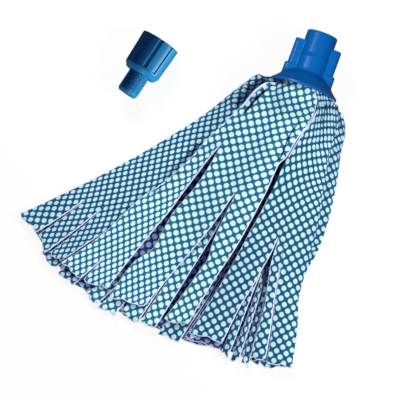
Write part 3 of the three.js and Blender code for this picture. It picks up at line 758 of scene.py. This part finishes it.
# The print's own millimetres over each strip: one map above the slits, then each strip's own.
def clothMap(sheet, sharedCount, grids):
    columns = grids[0]["points"].shape[1] - 1
    fan = np.array(sheet.get("fan", [0] * len(grids)), dtype=float)

    def fields(grid, strip):
        points, reach = grid["laid"], grid["reach"]
        direction = np.arctan2(points[..., 0], pile["poleY"] - points[..., 1])
        drawn = sheet.get("draw", {}).get(strip, [(1, 1)])
        gather = alongHeld(sheet["gather"], reach) * alongHeld([(0, 1), *drawn], reach)
        spread = np.interp(strip + grid["across"] - 0.5, np.arange(len(grids)), fan)
        printAngle = alongHeld(sheet["print"], reach) + spread
        return points, direction, gather, np.radians(printAngle)

    parts = [fields(grid, strip) for strip, grid in enumerate(grids)]
    joined = [np.concatenate([part[k][:sharedCount, (0 if n == 0 else 1):]
                              for n, part in enumerate(parts)], axis=1) for k in range(4)]
    centre = joined[0].shape[1] // 2
    sheetMap = unrolled(*joined, centre, np.zeros(2))
    maps = []
    for strip, grid in enumerate(grids):
        own = sheetMap[:, strip * columns:(strip + 1) * columns + 1]
        starts = [slit["start"][0] for slit in sheet["slits"][max(0, strip - 1):strip + 1]]
        begun = int(np.searchsorted(grid["reach"][:sharedCount, 0], max(starts)))
        row = min(begun, sharedCount - 1)
        middle = columns // 2
        tail = unrolled(*[field[row:] for field in parts[strip]], middle, own[row, middle])
        maps.append(np.concatenate([own[:row], tail]))
    return maps


# The cloth's edges are cut square, so its smooth shading stops there.
def markCutEdges(mesh):
    faceCount = {}
    for polygon in mesh.polygons:
        for key in polygon.edge_keys:
            faceCount[key] = faceCount.get(key, 0) + 1
    for edge in mesh.edges:
        edge.use_edge_sharp = faceCount[tuple(sorted(edge.vertices))] == 1


# One sheet's mesh: its strips share their points above each slit's start.
def makeSheet(sheet, level):
    sharedCount, grids = stripGrids(sheet, level)
    maps = clothMap(sheet, sharedCount, grids)
    vertices, known = [], {}
    faces, uvs, surfaces = [], [], []
    last = grids[0]["points"].shape[1] - 1
    for strip, grid in enumerate(grids):
        points = grid["points"]
        index = np.zeros(points.shape[:2], dtype=int)
        for row in range(points.shape[0]):
            for column in range(last + 1):
                slit = strip - 1 if column == 0 else strip if column == last else -1
                joined = (0 <= slit < len(sheet["slits"]) and row < sharedCount
                          and grid["reach"][row, column] <= sheet["slits"][slit]["start"][0])
                key = ("slit", slit, row) if joined else (strip, column, row)
                if key not in known:
                    known[key] = len(vertices)
                    vertices.append(points[row, column])
                index[row, column] = known[key]
        for row in range(points.shape[0] - 1):
            for column in range(last):
                corners = [(row, column), (row + 1, column), (row + 1, column + 1),
                           (row, column + 1)]
                faces.append([index[c] for c in corners])
                uvs.extend(maps[strip][c] for c in corners)
                surfaces.append(grid["surface"][row, column])
    mesh = bpy.data.meshes.new(sheet["name"])
    mesh.from_pydata(place(vertices).tolist(), [], faces)
    layer = mesh.uv_layers.new(name="print")
    layer.data.foreach_set("uv", np.asarray(uvs, dtype=float).ravel())
    mesh.polygons.foreach_set("material_index", surfaces)
    mesh.shade_smooth()
    markCutEdges(mesh)
    piece = newObject(sheet["name"].replace("strip_sheet", "cloth"), mesh)
    solid = piece.modifiers.new("thickness", "SOLIDIFY")
    solid.thickness = cloth["thickness"] * mm
    solid.offset = 0
    solid.material_offset = 1
    solid.material_offset_rim = 2
    return piece


dots = {
    "pitch": 6.95,             # mm, a square grid that lies at 45 degrees to the strips
    "squareness": 2.3,         # 2 is round
    "softness": 0.6,
    "dimple": (0.55, 0.45),    # half width and softness of the dimple in a dot's middle
    "reverse": "#e6eeff",
}
# The net's two colours, the dots' and that of their dimples, and the dots' half width. The
# dimples' greyer colour is painted shade in their pressed hollows. Where the cloth is drawn
# together at the pile's sides its dots are a little smaller, and its darker net and greyer dots are
# painted shade of its fine folds. The sheets underneath are darker and bluer with painted shade
# from the sheets over them.
printsAndShade = {
    "plain": ("#0f5a7b", "#146383", "#cdf8ff", "#c5dfe9", 2.55),
    # drawn: smaller dots, with painted shade of the cloth's fine folds in its darker net and greyer
    # dots
    "drawn": ("#0a4262", "#0e4d6d", "#b6e3f1", "#adc9d8", 2.42),
    # under: darker and bluer, painted shade from the sheets lying over them
    "under": ("#0c315a", "#103c67", "#9cb5df", "#8ea2cc", 2.5),
}


# Two masks: 1 on a printed dot and 0 on the net, and 1 in the dots' dimples.
def dotMasks(tree, halfWidth):
    uv = addNode(tree, "ShaderNodeUVMap", uv_map="print")
    mapping = addNode(tree, "ShaderNodeMapping", {
        "Vector": uv.outputs[0],
        "Rotation": (0, 0, math.radians(45)),
        "Scale": (1 / dots["pitch"],) * 3,
    })
    cell = addNode(tree, "ShaderNodeVectorMath", {0: mapping.outputs[0]}, operation="FRACTION")
    centred = addNode(tree, "ShaderNodeVectorMath", {0: cell.outputs[0], 1: (0.5, 0.5, 0)},
                      operation="SUBTRACT")
    apart = addNode(tree, "ShaderNodeVectorMath", {0: centred.outputs[0]}, operation="ABSOLUTE")
    legs = addNode(tree, "ShaderNodeSeparateXYZ", {0: apart.outputs[0]}).outputs[:2]
    powers = [mathNode(tree, "POWER", leg, dots["squareness"]) for leg in legs]
    distance = mathNode(tree, "POWER", mathNode(tree, "ADD", *powers), 1 / dots["squareness"])
    return [addNode(tree, "ShaderNodeMapRange", {
        "Value": distance,
        "From Min": (at + softness) / dots["pitch"],
        "From Max": (at - softness) / dots["pitch"],
    }, interpolation_type="SMOOTHSTEP").outputs[0]
        for at, softness in ((halfWidth, dots["softness"]), dots["dimple"])]


# Spunlace viscose with a printed net: matt, fibrous, and the dots are the bare cloth. The drawn and
# under kinds darken it with painted shade.
def makeClothFront(kind):
    material, tree, shader = newMaterial("printed spunlace viscose, " + kind)
    *colours, halfWidth = printsAndShade[kind]
    netDark, netLight, white, dimpleShade = [linearColour(colour) for colour in colours]
    mask, dimple = dotMasks(tree, halfWidth)
    where = addNode(tree, "ShaderNodeTexCoord").outputs["Object"]
    net = mixNode(tree, noiseNode(tree, where, 60.0, 2.0), netDark, netLight)
    # the dimples' greyer colour is painted shade in their pressed hollows
    printed = mixNode(tree, mask, net, mixNode(tree, dimple, white, dimpleShade))
    fibres = noiseNode(tree, where, 1400.0, 4.0)
    raised = mathNode(tree, "MULTIPLY_ADD", mask, 0.5, fibres)
    pressed = mathNode(tree, "MULTIPLY_ADD", dimple, -0.5, raised)
    dressShader(tree, shader, printed, 0.5, 0.0003, pressed)
    shader.inputs["Roughness"].default_value = 0.85
    shader.inputs["Specular IOR Level"].default_value = 0.25
    return material


# The same cloth where the print doesn't reach: off-white with a cool cast.
def makeClothReverse():
    material, tree, shader = newMaterial("unprinted spunlace viscose")
    where = addNode(tree, "ShaderNodeTexCoord").outputs["Object"]
    fibres = noiseNode(tree, where, 1400.0, 4.0)
    dressShader(tree, shader, linearColour(dots["reverse"]), 0.5, 0.0003, fibres)
    shader.inputs["Roughness"].default_value = 0.9
    return material


clothFronts = {kind: makeClothFront(kind) for kind in printsAndShade}
clothReverse = makeClothReverse()
for level, sheet in enumerate(sheets):
    piece = makeSheet(sheet, level)
    # the drawn and under fronts hold painted shade in their print colours
    front = clothFronts[sheet["cloth"]]
    for material in (front, clothReverse, clothReverse):
        piece.data.materials.append(material)
    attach(piece, "mop_head")
    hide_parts(sheet["name"])
print("cloth made")


# A moulded plastic in two close tones, with a skin that is a little uneven in its grain's size.
def makePlastic(name, colour, deepColour, roughness, specular, grain):
    material, tree, shader = newMaterial(name)
    where = addNode(tree, "ShaderNodeTexCoord").outputs["Object"]
    cloud = noiseNode(tree, where, 45.0, 3.0)
    tint = mixNode(tree, cloud, linearColour(deepColour), linearColour(colour))
    gloss = addNode(tree, "ShaderNodeMapRange", {
        "Value": cloud, "To Min": roughness - 0.04, "To Max": roughness + 0.05})
    dressShader(tree, shader, tint, 0.04, 0.0001, noiseNode(tree, where, grain, 2.0))
    tree.links.new(gloss.outputs[0], shader.inputs["Roughness"])
    shader.inputs["IOR"].default_value = 1.49
    shader.inputs["Specular IOR Level"].default_value = specular
    return material


# Injection-moulded polypropylene: glossy, and a deep even blue.
socketPlastic = makePlastic("moulded polypropylene blue", "#0161a8", "#01569c", 0.24, 0.17, 300.0)
# The adapter's is a little duller, and turns from navy to sky blue with the light.
adapterPlastic = makePlastic(
    "moulded polypropylene bright blue", "#217fae", "#1c73a4", 0.3, 0.1, 300.0)
# Natural polypropylene, milky and fairly matt, on the parts that hold the cloth.
clampPlastic = makePlastic("natural polypropylene", "#dfe2e6", "#d3d7dc", 0.42, 0.3, 700.0)


# A ridge wound along a spiral, thinning out over its first and last half turn.
def makeThreadTree():
    tree, sizes = newTree("thread", ["Radius", "Pitch", "Turns", "Ridge"])
    spiral = addNode(tree, "GeometryNodeCurveSpiral", {
        "Resolution": 48, "Rotations": sizes["Turns"], "Start Radius": sizes["Radius"],
        "End Radius": sizes["Radius"],
        "Height": mathNode(tree, "MULTIPLY", sizes["Pitch"], sizes["Turns"])})
    upright = addNode(tree, "GeometryNodeSetCurveNormal", {"Curve": spiral.outputs[0]})
    upright.mode = "Z_UP"
    way = addNode(tree, "GeometryNodeSplineParameter").outputs["Factor"]
    nearer = mathNode(tree, "MINIMUM", way, mathNode(tree, "SUBTRACT", 1.0, way))
    swell = addNode(tree, "ShaderNodeMapRange", {
        "Value": mathNode(tree, "MULTIPLY", nearer, sizes["Turns"]),
        "From Min": 0.0, "From Max": 0.5, "To Min": 0.15, "To Max": 1.0}).outputs[0]
    tapered = addNode(tree, "GeometryNodeSetCurveRadius", {
        "Curve": upright.outputs[0], "Radius": swell})
    crest = addNode(tree, "GeometryNodeCurvePrimitiveCircle", {
        "Resolution": 4, "Radius": sizes["Ridge"]})
    ridge = addNode(tree, "GeometryNodeCurveToMesh", {
        "Curve": tapered.outputs[0], "Profile Curve": crest.outputs[0], "Fill Caps": True})
    scaleInput = ridge.inputs.get("Scale")
    if scaleInput:
        tree.links.new(swell, scaleInput)
    # the spiral climbs along Z: lay it along Y
    laid = addNode(tree, "GeometryNodeTransform", {
        "Geometry": ridge.outputs[0], "Rotation": (math.radians(-90), 0, 0)})
    endTree(tree, laid.outputs[0], sizes["Surface"])
    return tree


threadTree = makeThreadTree()


def threadMesh(radius, pitch, turns, ridge, surface):
    blank = bpy.data.meshes.new("blank")
    return treeResult(threadTree, blank, {
        "Radius": float(radius), "Pitch": float(pitch), "Turns": float(turns),
        "Ridge": float(ridge), "Surface": surface})


socket = {
    "mouthY": 57.5,
    "tubeRadius": 15,
    "stepY": 32.5,             # below this the tube is a little fatter
    "stepRadius": 15.4,
    # radii and heights, where the tube widens into the dome and down the dome
    "flare": [(15.4, 19.2), (15.5, 18.4), (15.8, 17.6), (16.4, 16.7), (17.1, 16.05)],
    "dome": [(18, 15.5), (21.5, 12.9), (25, 9.7), (28, 6.9), (31, 4.1), (33.1, 2.5), (33.5, 2.1)],
    "flangeRadius": 33.5,
    "wall": 2.2,
    "lobeReach": 22.8,
    "lobeHalf": 7.5,
    "lobeTopY": 46.2,
    "lobeCorner": 4,
    "footReach": 25,
    "footHalf": 8.5,
    "footTopY": 21,
    "fillet": 1.6,
    "boreRadius": 11.2,
    "boreDepth": 27,
    "threadPitch": 3.2,
    "threadDepth": 0.7,
    "threadTurns": 6.5,
    "stemHole": (7.0, 17.9),   # radius and top of the blind hole for the clamp plug's stem
}


# Distance from the axis to the outline of a rounded bar that lies across it, by angle.
def barRadius(angles, reach, half, corner):
    low, high = np.zeros_like(angles), np.full_like(angles, 60.0)
    for _ in range(30):
        middle = (low + high) / 2
        beyondX = np.maximum(np.abs(middle * np.sin(angles)) - (reach - corner), 0)
        beyondZ = np.maximum(np.abs(middle * np.cos(angles)) - (half - corner), 0)
        inside = np.hypot(beyondX, beyondZ) < corner
        low, high = np.where(inside, middle, low), np.where(inside, high, middle)
    return low


# The greater of two numbers, with a fillet where they cross.
def softMax(a, b, width):
    overlap = np.maximum(width - np.abs(a - b), 0) / width
    return np.maximum(a, b) + overlap * overlap * width / 4


# Rows over one step of the moulding's outline, from an inner line to an outer one: flat on
# top, round at its edge. Where the two lines meet the rows run on down the wall. A step says
# how far out its row lies, as a share less an inset, and how far down.
def ledgeRows(inner, outer, topY, drop):
    rows = []
    reached = np.clip((outer - inner) / 0.6, 0, 1)
    steps = [(0.0, 0.0, 0.25), (0.35, 0.0, 0.0), (0.7, 0.0, 0.0), (1.0, 0.8, 0.0),
             (1.0, 0.3, 0.15), (1.0, 0.07, 0.45), (1.0, 0.0, drop)]
    for step, (share, inset, down) in enumerate(steps):
        out = inner + (outer - inner) * share - np.minimum(inset, 0.5 * (outer - inner))
        plain = topY - drop * step / (len(steps) - 1)
        rows.append((out, plain + (topY - down - plain) * reached))
    return rows


def socketRows(angles):
    tube = np.full_like(angles, socket["tubeRadius"])
    fatTube = np.full_like(angles, socket["stepRadius"])
    lobe = barRadius(angles, socket["lobeReach"], socket["lobeHalf"], socket["lobeCorner"])
    foot = barRadius(angles, socket["footReach"], socket["footHalf"], socket["lobeCorner"])
    mouthY, boreY = socket["mouthY"], socket["mouthY"] - socket["boreDepth"]
    threadWall = socket["boreRadius"] + socket["threadDepth"]
    rows = [(0, boreY), (threadWall - 1, boreY), (threadWall, boreY + 0.6)]
    rows += [(threadWall, y) for y in np.linspace(boreY + 3, mouthY - 1.6, 8)]
    rows += [(threadWall + 0.15, mouthY - 0.6), (threadWall + 0.5, mouthY - 0.1),
             (threadWall + 1, mouthY), (socket["tubeRadius"] - 0.9, mouthY),
             (socket["tubeRadius"] - 0.3, mouthY - 0.12), (socket["tubeRadius"], mouthY - 0.7)]
    rows += [(tube, y) for y in np.linspace(mouthY - 2, socket["lobeTopY"] + 1, 4)]
    fillet = socket["fillet"]
    upper = softMax(tube, lobe, fillet)
    rows += ledgeRows(tube, upper, socket["lobeTopY"], 1.0)
    rows += [(upper, y) for y in np.linspace(socket["lobeTopY"] - 3, socket["stepY"] + 0.5, 4)]
    lower = softMax(fatTube, lobe, fillet)
    rows += [(lower - 0.1, socket["stepY"] + 0.1), (lower, socket["stepY"] - 0.3)]
    rows += [(lower, y) for y in np.linspace(socket["stepY"] - 2, socket["footTopY"] + 1, 4)]
    wide = softMax(fatTube, foot, fillet)
    rows += ledgeRows(lower, wide, socket["footTopY"], 1.0)
    rows += [(softMax(radius, foot, fillet), y) for radius, y in
             [*socket["flare"], *socket["dome"]]]
    flange, wall = socket["flangeRadius"], socket["wall"]
    holeRadius, holeTop = socket["stemHole"]
    ceilingY = socket["dome"][0][1] - 1.4 * wall
    rows += [(flange, 0.3), (flange - 0.3, 0), (flange - wall, 0), (flange - wall, 1.3),
             (socket["dome"][0][0] - 1.3 * wall, ceilingY), (holeRadius, ceilingY),
             (holeRadius, holeTop), (0, holeTop)]
    return rows


def makeSocket():
    angles = np.radians(np.arange(0, 360, 1.25))
    body = rowsMesh("socket_moulding", socketRows(angles), angles)
    body.flip_normals()
    middle = pile["axisZ"]
    movePoints(body, lambda points: place(points + [0, 0, middle]))
    finishMesh(body, 40)
    body.materials.append(socketPlastic)
    boreThread = threadMesh((socket["boreRadius"] + socket["threadDepth"]) * mm,
                            socket["threadPitch"] * mm, socket["threadTurns"],
                            (socket["threadDepth"] + 0.1) * mm, socketPlastic)
    threadY = socket["mouthY"] - 3 - socket["threadTurns"] * socket["threadPitch"]
    movePoints(boreThread, lambda points: place(points / mm + [0, threadY, middle]))
    finishMesh(boreThread, 50)
    for name, mesh in (("socket_moulding", body), ("socket_thread", boreThread)):
        piece = newObject(name, mesh)
        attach(piece, "mop_head")
        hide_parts("socket")


makeSocket()
print("socket made")

adapter = {
    "mouthRadius": 19.4,
    "shoulderRadius": 18.3,
    "length": 37.6,
    "chamfer": 4.6,
    "chamferDepth": 3.2,
    "boreRadius": 12.2,
    "boreDepth": 33,
    "flutes": 10,
    "fluteWidth": 4.2,
    "fluteDepth": 1.2,
    "fluteStop": 1.4,          # the flutes end this far above the chamfer
    "firstFlute": 7,           # degrees from the top
    "stubRadius": 10.7,
    "stubLength": 22.6,
    "stubPitch": 1.8,
    "stubThread": 0.8,
    "stubLead": 1.6,
    "recess": (2.4, 1.2),      # radius and depth of the moulding's mark in the stub's tip
    "centre": (-150.5, -28),
    "turn": -13.3,             # degrees round from the mouth pointing along +Y
}


# Presses a ring of round-bottomed flutes into a wall round the Y axis.
def makeFluteTree():
    tree, sizes = newTree("flutes", ["Count", "Width", "Depth", "First", "From"])

    def sums(operation, *values, clamp=False):
        return mathNode(tree, operation, *values, clamp=clamp)

    position = addNode(tree, "GeometryNodeInputPosition").outputs[0]
    x, y, z = addNode(tree, "ShaderNodeSeparateXYZ", {0: position}).outputs[:3]
    radius = sums("SQRT", sums("ADD", sums("MULTIPLY", x, x), sums("MULTIPLY", z, z)))
    turn = sums("SUBTRACT", sums("ARCTAN2", x, z), sizes["First"])
    sector = sums("DIVIDE", sums("MULTIPLY", turn, sizes["Count"]), 2 * math.pi)
    off = sums("SUBTRACT", sector, sums("ROUND", sector))
    offTurn = sums("DIVIDE", sums("MULTIPLY", off, 2 * math.pi), sizes["Count"])
    arc = sums("ABSOLUTE", sums("MULTIPLY", offTurn, radius))
    across = addNode(tree, "ShaderNodeMapRange", {
        "Value": sums("DIVIDE", arc, sums("MULTIPLY", sizes["Width"], 0.5)),
        "From Min": 1.05, "From Max": 0.72}, interpolation_type="SMOOTHSTEP").outputs[0]
    above = sums("DIVIDE", sums("SUBTRACT", y, sizes["From"]), sizes["Depth"], clamp=True)
    outside = sums("GREATER_THAN", radius, (adapter["boreRadius"] + 3) * mm)
    reached = sums("MULTIPLY", sums("MULTIPLY", across, above), outside)
    deep = sums("MULTIPLY", reached, sizes["Depth"])
    inwards = sums("DIVIDE", sums("MULTIPLY", deep, -1.0), sums("MAXIMUM", radius, 1e-6))
    offset = addNode(tree, "ShaderNodeCombineXYZ", {
        0: sums("MULTIPLY", x, inwards), 1: 0.0, 2: sums("MULTIPLY", z, inwards)})
    pressed = addNode(tree, "GeometryNodeSetPosition", {
        "Geometry": sizes["Geometry"], "Offset": offset.outputs[0]})
    endTree(tree, pressed.outputs[0], sizes["Surface"])
    return tree


def adapterRows():
    mouth, shoulder, length = adapter["mouthRadius"], adapter["shoulderRadius"], adapter["length"]
    stub, lead, tipY = adapter["stubRadius"], adapter["stubLead"], -adapter["stubLength"]
    core = stub - adapter["stubThread"]
    recessRadius, recessDepth = adapter["recess"]
    foot, low = shoulder - adapter["chamferDepth"], adapter["chamfer"]
    fluteFrom = low + adapter["fluteStop"]
    bore, boreY = adapter["boreRadius"], length - adapter["boreDepth"]

    def wallRadius(y):
        return shoulder + (mouth - shoulder) * (y - low) / (length - low)

    rows = [(0, tipY + recessDepth), (recessRadius - 0.2, tipY + recessDepth),
            (recessRadius, tipY + 0.2), (recessRadius + 0.2, tipY), (core - lead, tipY),
            (core - lead + 0.5, tipY + 0.15), (core - 0.1, tipY + lead - 0.2),
            (core, tipY + lead + 0.3)]
    rows += [(core, y) for y in np.linspace(tipY + 4, -0.9, 6)]
    rows += [(core + 0.25, -0.2), (core + 0.8, 0), (foot - 0.6, 0), (foot - 0.12, 0.12),
             (foot + 0.5, 0.8), (shoulder - 0.5, low - 0.75), (shoulder - 0.1, low - 0.1)]
    # the rows lie close where the flutes start
    starts = [fluteFrom + step for step in (-0.2, 0, 0.3, 0.6, 0.9, 1.2, 1.6)]
    rows += [(wallRadius(y), y) for y in
             (low + 0.8, *starts, *np.linspace(fluteFrom + 4, length - 1.6, 7))]
    rows += [(mouth, length - 0.7), (mouth - 0.25, length - 0.15), (mouth - 0.8, length),
             (bore + 1.2, length), (bore + 0.4, length - 0.15), (bore, length - 1)]
    rows += [(bore, y) for y in np.linspace(length - 4, boreY + 1, 6)]
    return rows + [(bore - 0.3, boreY + 0.15), (bore - 1, boreY), (0, boreY)]


# From the adapter's own millimetres, with Y along it, to where it lies on its side.
def adapterPlace(points):
    lean = math.atan2(adapter["mouthRadius"] - adapter["shoulderRadius"],
                      adapter["length"] - adapter["chamfer"])
    middle = (adapter["length"] - adapter["stubLength"]) / 2
    restZ = (adapter["shoulderRadius"] * math.cos(lean)
             - (adapter["chamfer"] - middle) * math.sin(lean))
    x, y, z = points[:, 0], points[:, 1] - middle, points[:, 2]
    ahead = y * math.cos(lean) - z * math.sin(lean)
    up = y * math.sin(lean) + z * math.cos(lean)
    turn = math.radians(adapter["turn"])
    centreX, centreY = adapter["centre"]
    return place(np.stack([centreX + x * math.cos(turn) - ahead * math.sin(turn),
                           centreY + x * math.sin(turn) + ahead * math.cos(turn), restZ + up], 1))


def makeAdapter():
    sector = 360 / adapter["flutes"]
    # degrees from a flute's middle, close together at its two edges
    offsets = np.array([-17, -14, -10, -8, -7, -6.6, -6.1, -5.6, -5.1, -4.6, -2.5, 0,
                        2.5, 4.6, 5.1, 5.6, 6.1, 6.6, 7, 8, 10, 14])
    angles = np.radians(np.concatenate([adapter["firstFlute"] + k * sector + offsets
                                        for k in range(adapter["flutes"])]))
    blank = rowsMesh("handle_adapter_body", adapterRows(), angles)
    movePoints(blank, lambda points: points * mm)
    body = treeResult(makeFluteTree(), blank, {
        "Count": float(adapter["flutes"]), "Width": adapter["fluteWidth"] * mm,
        "Depth": adapter["fluteDepth"] * mm, "First": math.radians(adapter["firstFlute"]),
        "From": (adapter["chamfer"] + adapter["fluteStop"]) * mm, "Surface": adapterPlastic})
    threadLength = adapter["stubLength"] - adapter["stubLead"] - 1.2
    threadY = 0.5 - adapter["stubLength"] + adapter["stubLead"]
    thread = threadMesh(
        (adapter["stubRadius"] - adapter["stubThread"]) * mm, adapter["stubPitch"] * mm,
        threadLength / adapter["stubPitch"], adapter["stubThread"] * mm, adapterPlastic)
    movePoints(body, lambda points: adapterPlace(points / mm))
    movePoints(thread, lambda points: adapterPlace(points / mm + [0, threadY, 0]))
    for name, mesh, sharp in (("handle_adapter_body", body, 40), ("handle_adapter_thread", thread, 50)):
        finishMesh(mesh, sharp)
        piece = newObject(name, mesh)
        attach(piece, "adapter")
        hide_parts("handle_adapter")


makeAdapter()
print("adapter made")

for name in ("clamp_plug", "clamp_ring"):
    for slot in frame["nodes"][name].material_slots:
        slot.material = clampPlastic

room = {
    "floorHalf": 3.0,          # metres
    "floorZ": -0.0002,
    "floorColour": "#f7f7f7",
    "floorWhite": 0.9,         # the share of plain white in what the camera sees of the floor
    "worldColour": "#c4c2ff",  # a cool, faintly violet room, which shows in the shade
    "worldStrength": 0.17,
}


def makeFloor():
    mesh = bpy.data.meshes.new("floor")
    corners = ((-1, -1), (1, -1), (1, 1), (-1, 1))
    mesh.from_pydata([(x * room["floorHalf"], y * room["floorHalf"], room["floorZ"])
                      for x, y in corners], [], [(0, 1, 2, 3)])
    floor = newObject("floor", mesh)
    material, tree, shader = newMaterial("white paper sweep")
    shader.inputs["Base Color"].default_value = linearColour(room["floorColour"])
    shader.inputs["Roughness"].default_value = 1.0
    shader.inputs["Specular IOR Level"].default_value = 0.0
    white = addNode(tree, "ShaderNodeEmission", {"Color": (1, 1, 1, 1), "Strength": 1.0})
    seen = addNode(tree, "ShaderNodeMixShader", {
        0: room["floorWhite"], 1: shader.outputs[0], 2: white.outputs[0]})
    path = addNode(tree, "ShaderNodeLightPath")
    # white to the camera only: to the object it is as dim as the room
    dim = addNode(tree, "ShaderNodeEmission", {
        "Color": linearColour(room["worldColour"]), "Strength": room["worldStrength"]})
    final = addNode(tree, "ShaderNodeMixShader", {
        0: path.outputs["Is Camera Ray"], 1: dim.outputs[0], 2: seen.outputs[0]})
    output = next(n for n in tree.nodes if n.type == "OUTPUT_MATERIAL")
    tree.links.new(final.outputs[0], output.inputs["Surface"])
    mesh.materials.append(material)


def makeWorld():
    world = bpy.data.worlds.new("studio")
    bpy.context.scene.world = world
    world.use_nodes = True
    tree = world.node_tree
    tree.nodes.clear()
    grey = addNode(tree, "ShaderNodeBackground", {
        "Color": linearColour(room["worldColour"]), "Strength": room["worldStrength"]})
    white = addNode(tree, "ShaderNodeBackground", {"Color": (1, 1, 1, 1), "Strength": 1.0})
    path = addNode(tree, "ShaderNodeLightPath")
    mix = addNode(tree, "ShaderNodeMixShader", {
        0: path.outputs["Is Camera Ray"], 1: grey.outputs[0], 2: white.outputs[0]})
    addNode(tree, "ShaderNodeOutputWorld", {0: mix.outputs[0]})


# Each lamp's name, place, size across and along, watts and what it lights.
lamps = [
    ("left", (-430, 420, 620), (120, 320), 6.4, ("cloth", "floor")),
    ("right", (600, -80, 600), (320, 380), 7.1, ("cloth", "floor")),
    ("socket top", (130, -200, 660), (200, 240), 3.7, ("socket",)),
    ("socket left", (-370, 60, 620), (50, 420), 2.8, ("socket",)),
    ("adapter side", (316, -138, 85), (60, 300), 3.7, ("adapter",)),
    ("adapter end", (-180, -520, 55), (100, 60), 1.5, ("adapter",)),
]


def lightGroup(piece):
    for group in ("cloth", "adapter", "floor"):
        if group in piece.name:
            return group
    return "socket"


def makeLamp(name, where, size, power, groups):
    data = bpy.data.lights.new(name, "AREA")
    data.shape = "RECTANGLE"
    data.size, data.size_y = size[0] * mm, size[1] * mm
    data.energy = power
    lamp = newObject(name, data)
    lamp.location = Vector(place(where))
    aim = Vector(place((-30, -100, 20)))
    lamp.rotation_euler = (aim - lamp.location).to_track_quat("-Z", "Y").to_euler()
    lit = bpy.data.collections.new(name + " lights")
    for piece in bpy.data.objects:
        if piece.type == "MESH" and lightGroup(piece) in groups:
            lit.objects.link(piece)
    lamp.light_linking.receiver_collection = lit
    if "floor" not in groups:
        lamp.light_linking.blocker_collection = lit


makeFloor()
makeWorld()
for lamp in lamps:
    makeLamp(*lamp)
print("floor and lamps made")

bpy.context.scene.view_settings.view_transform = "Standard"
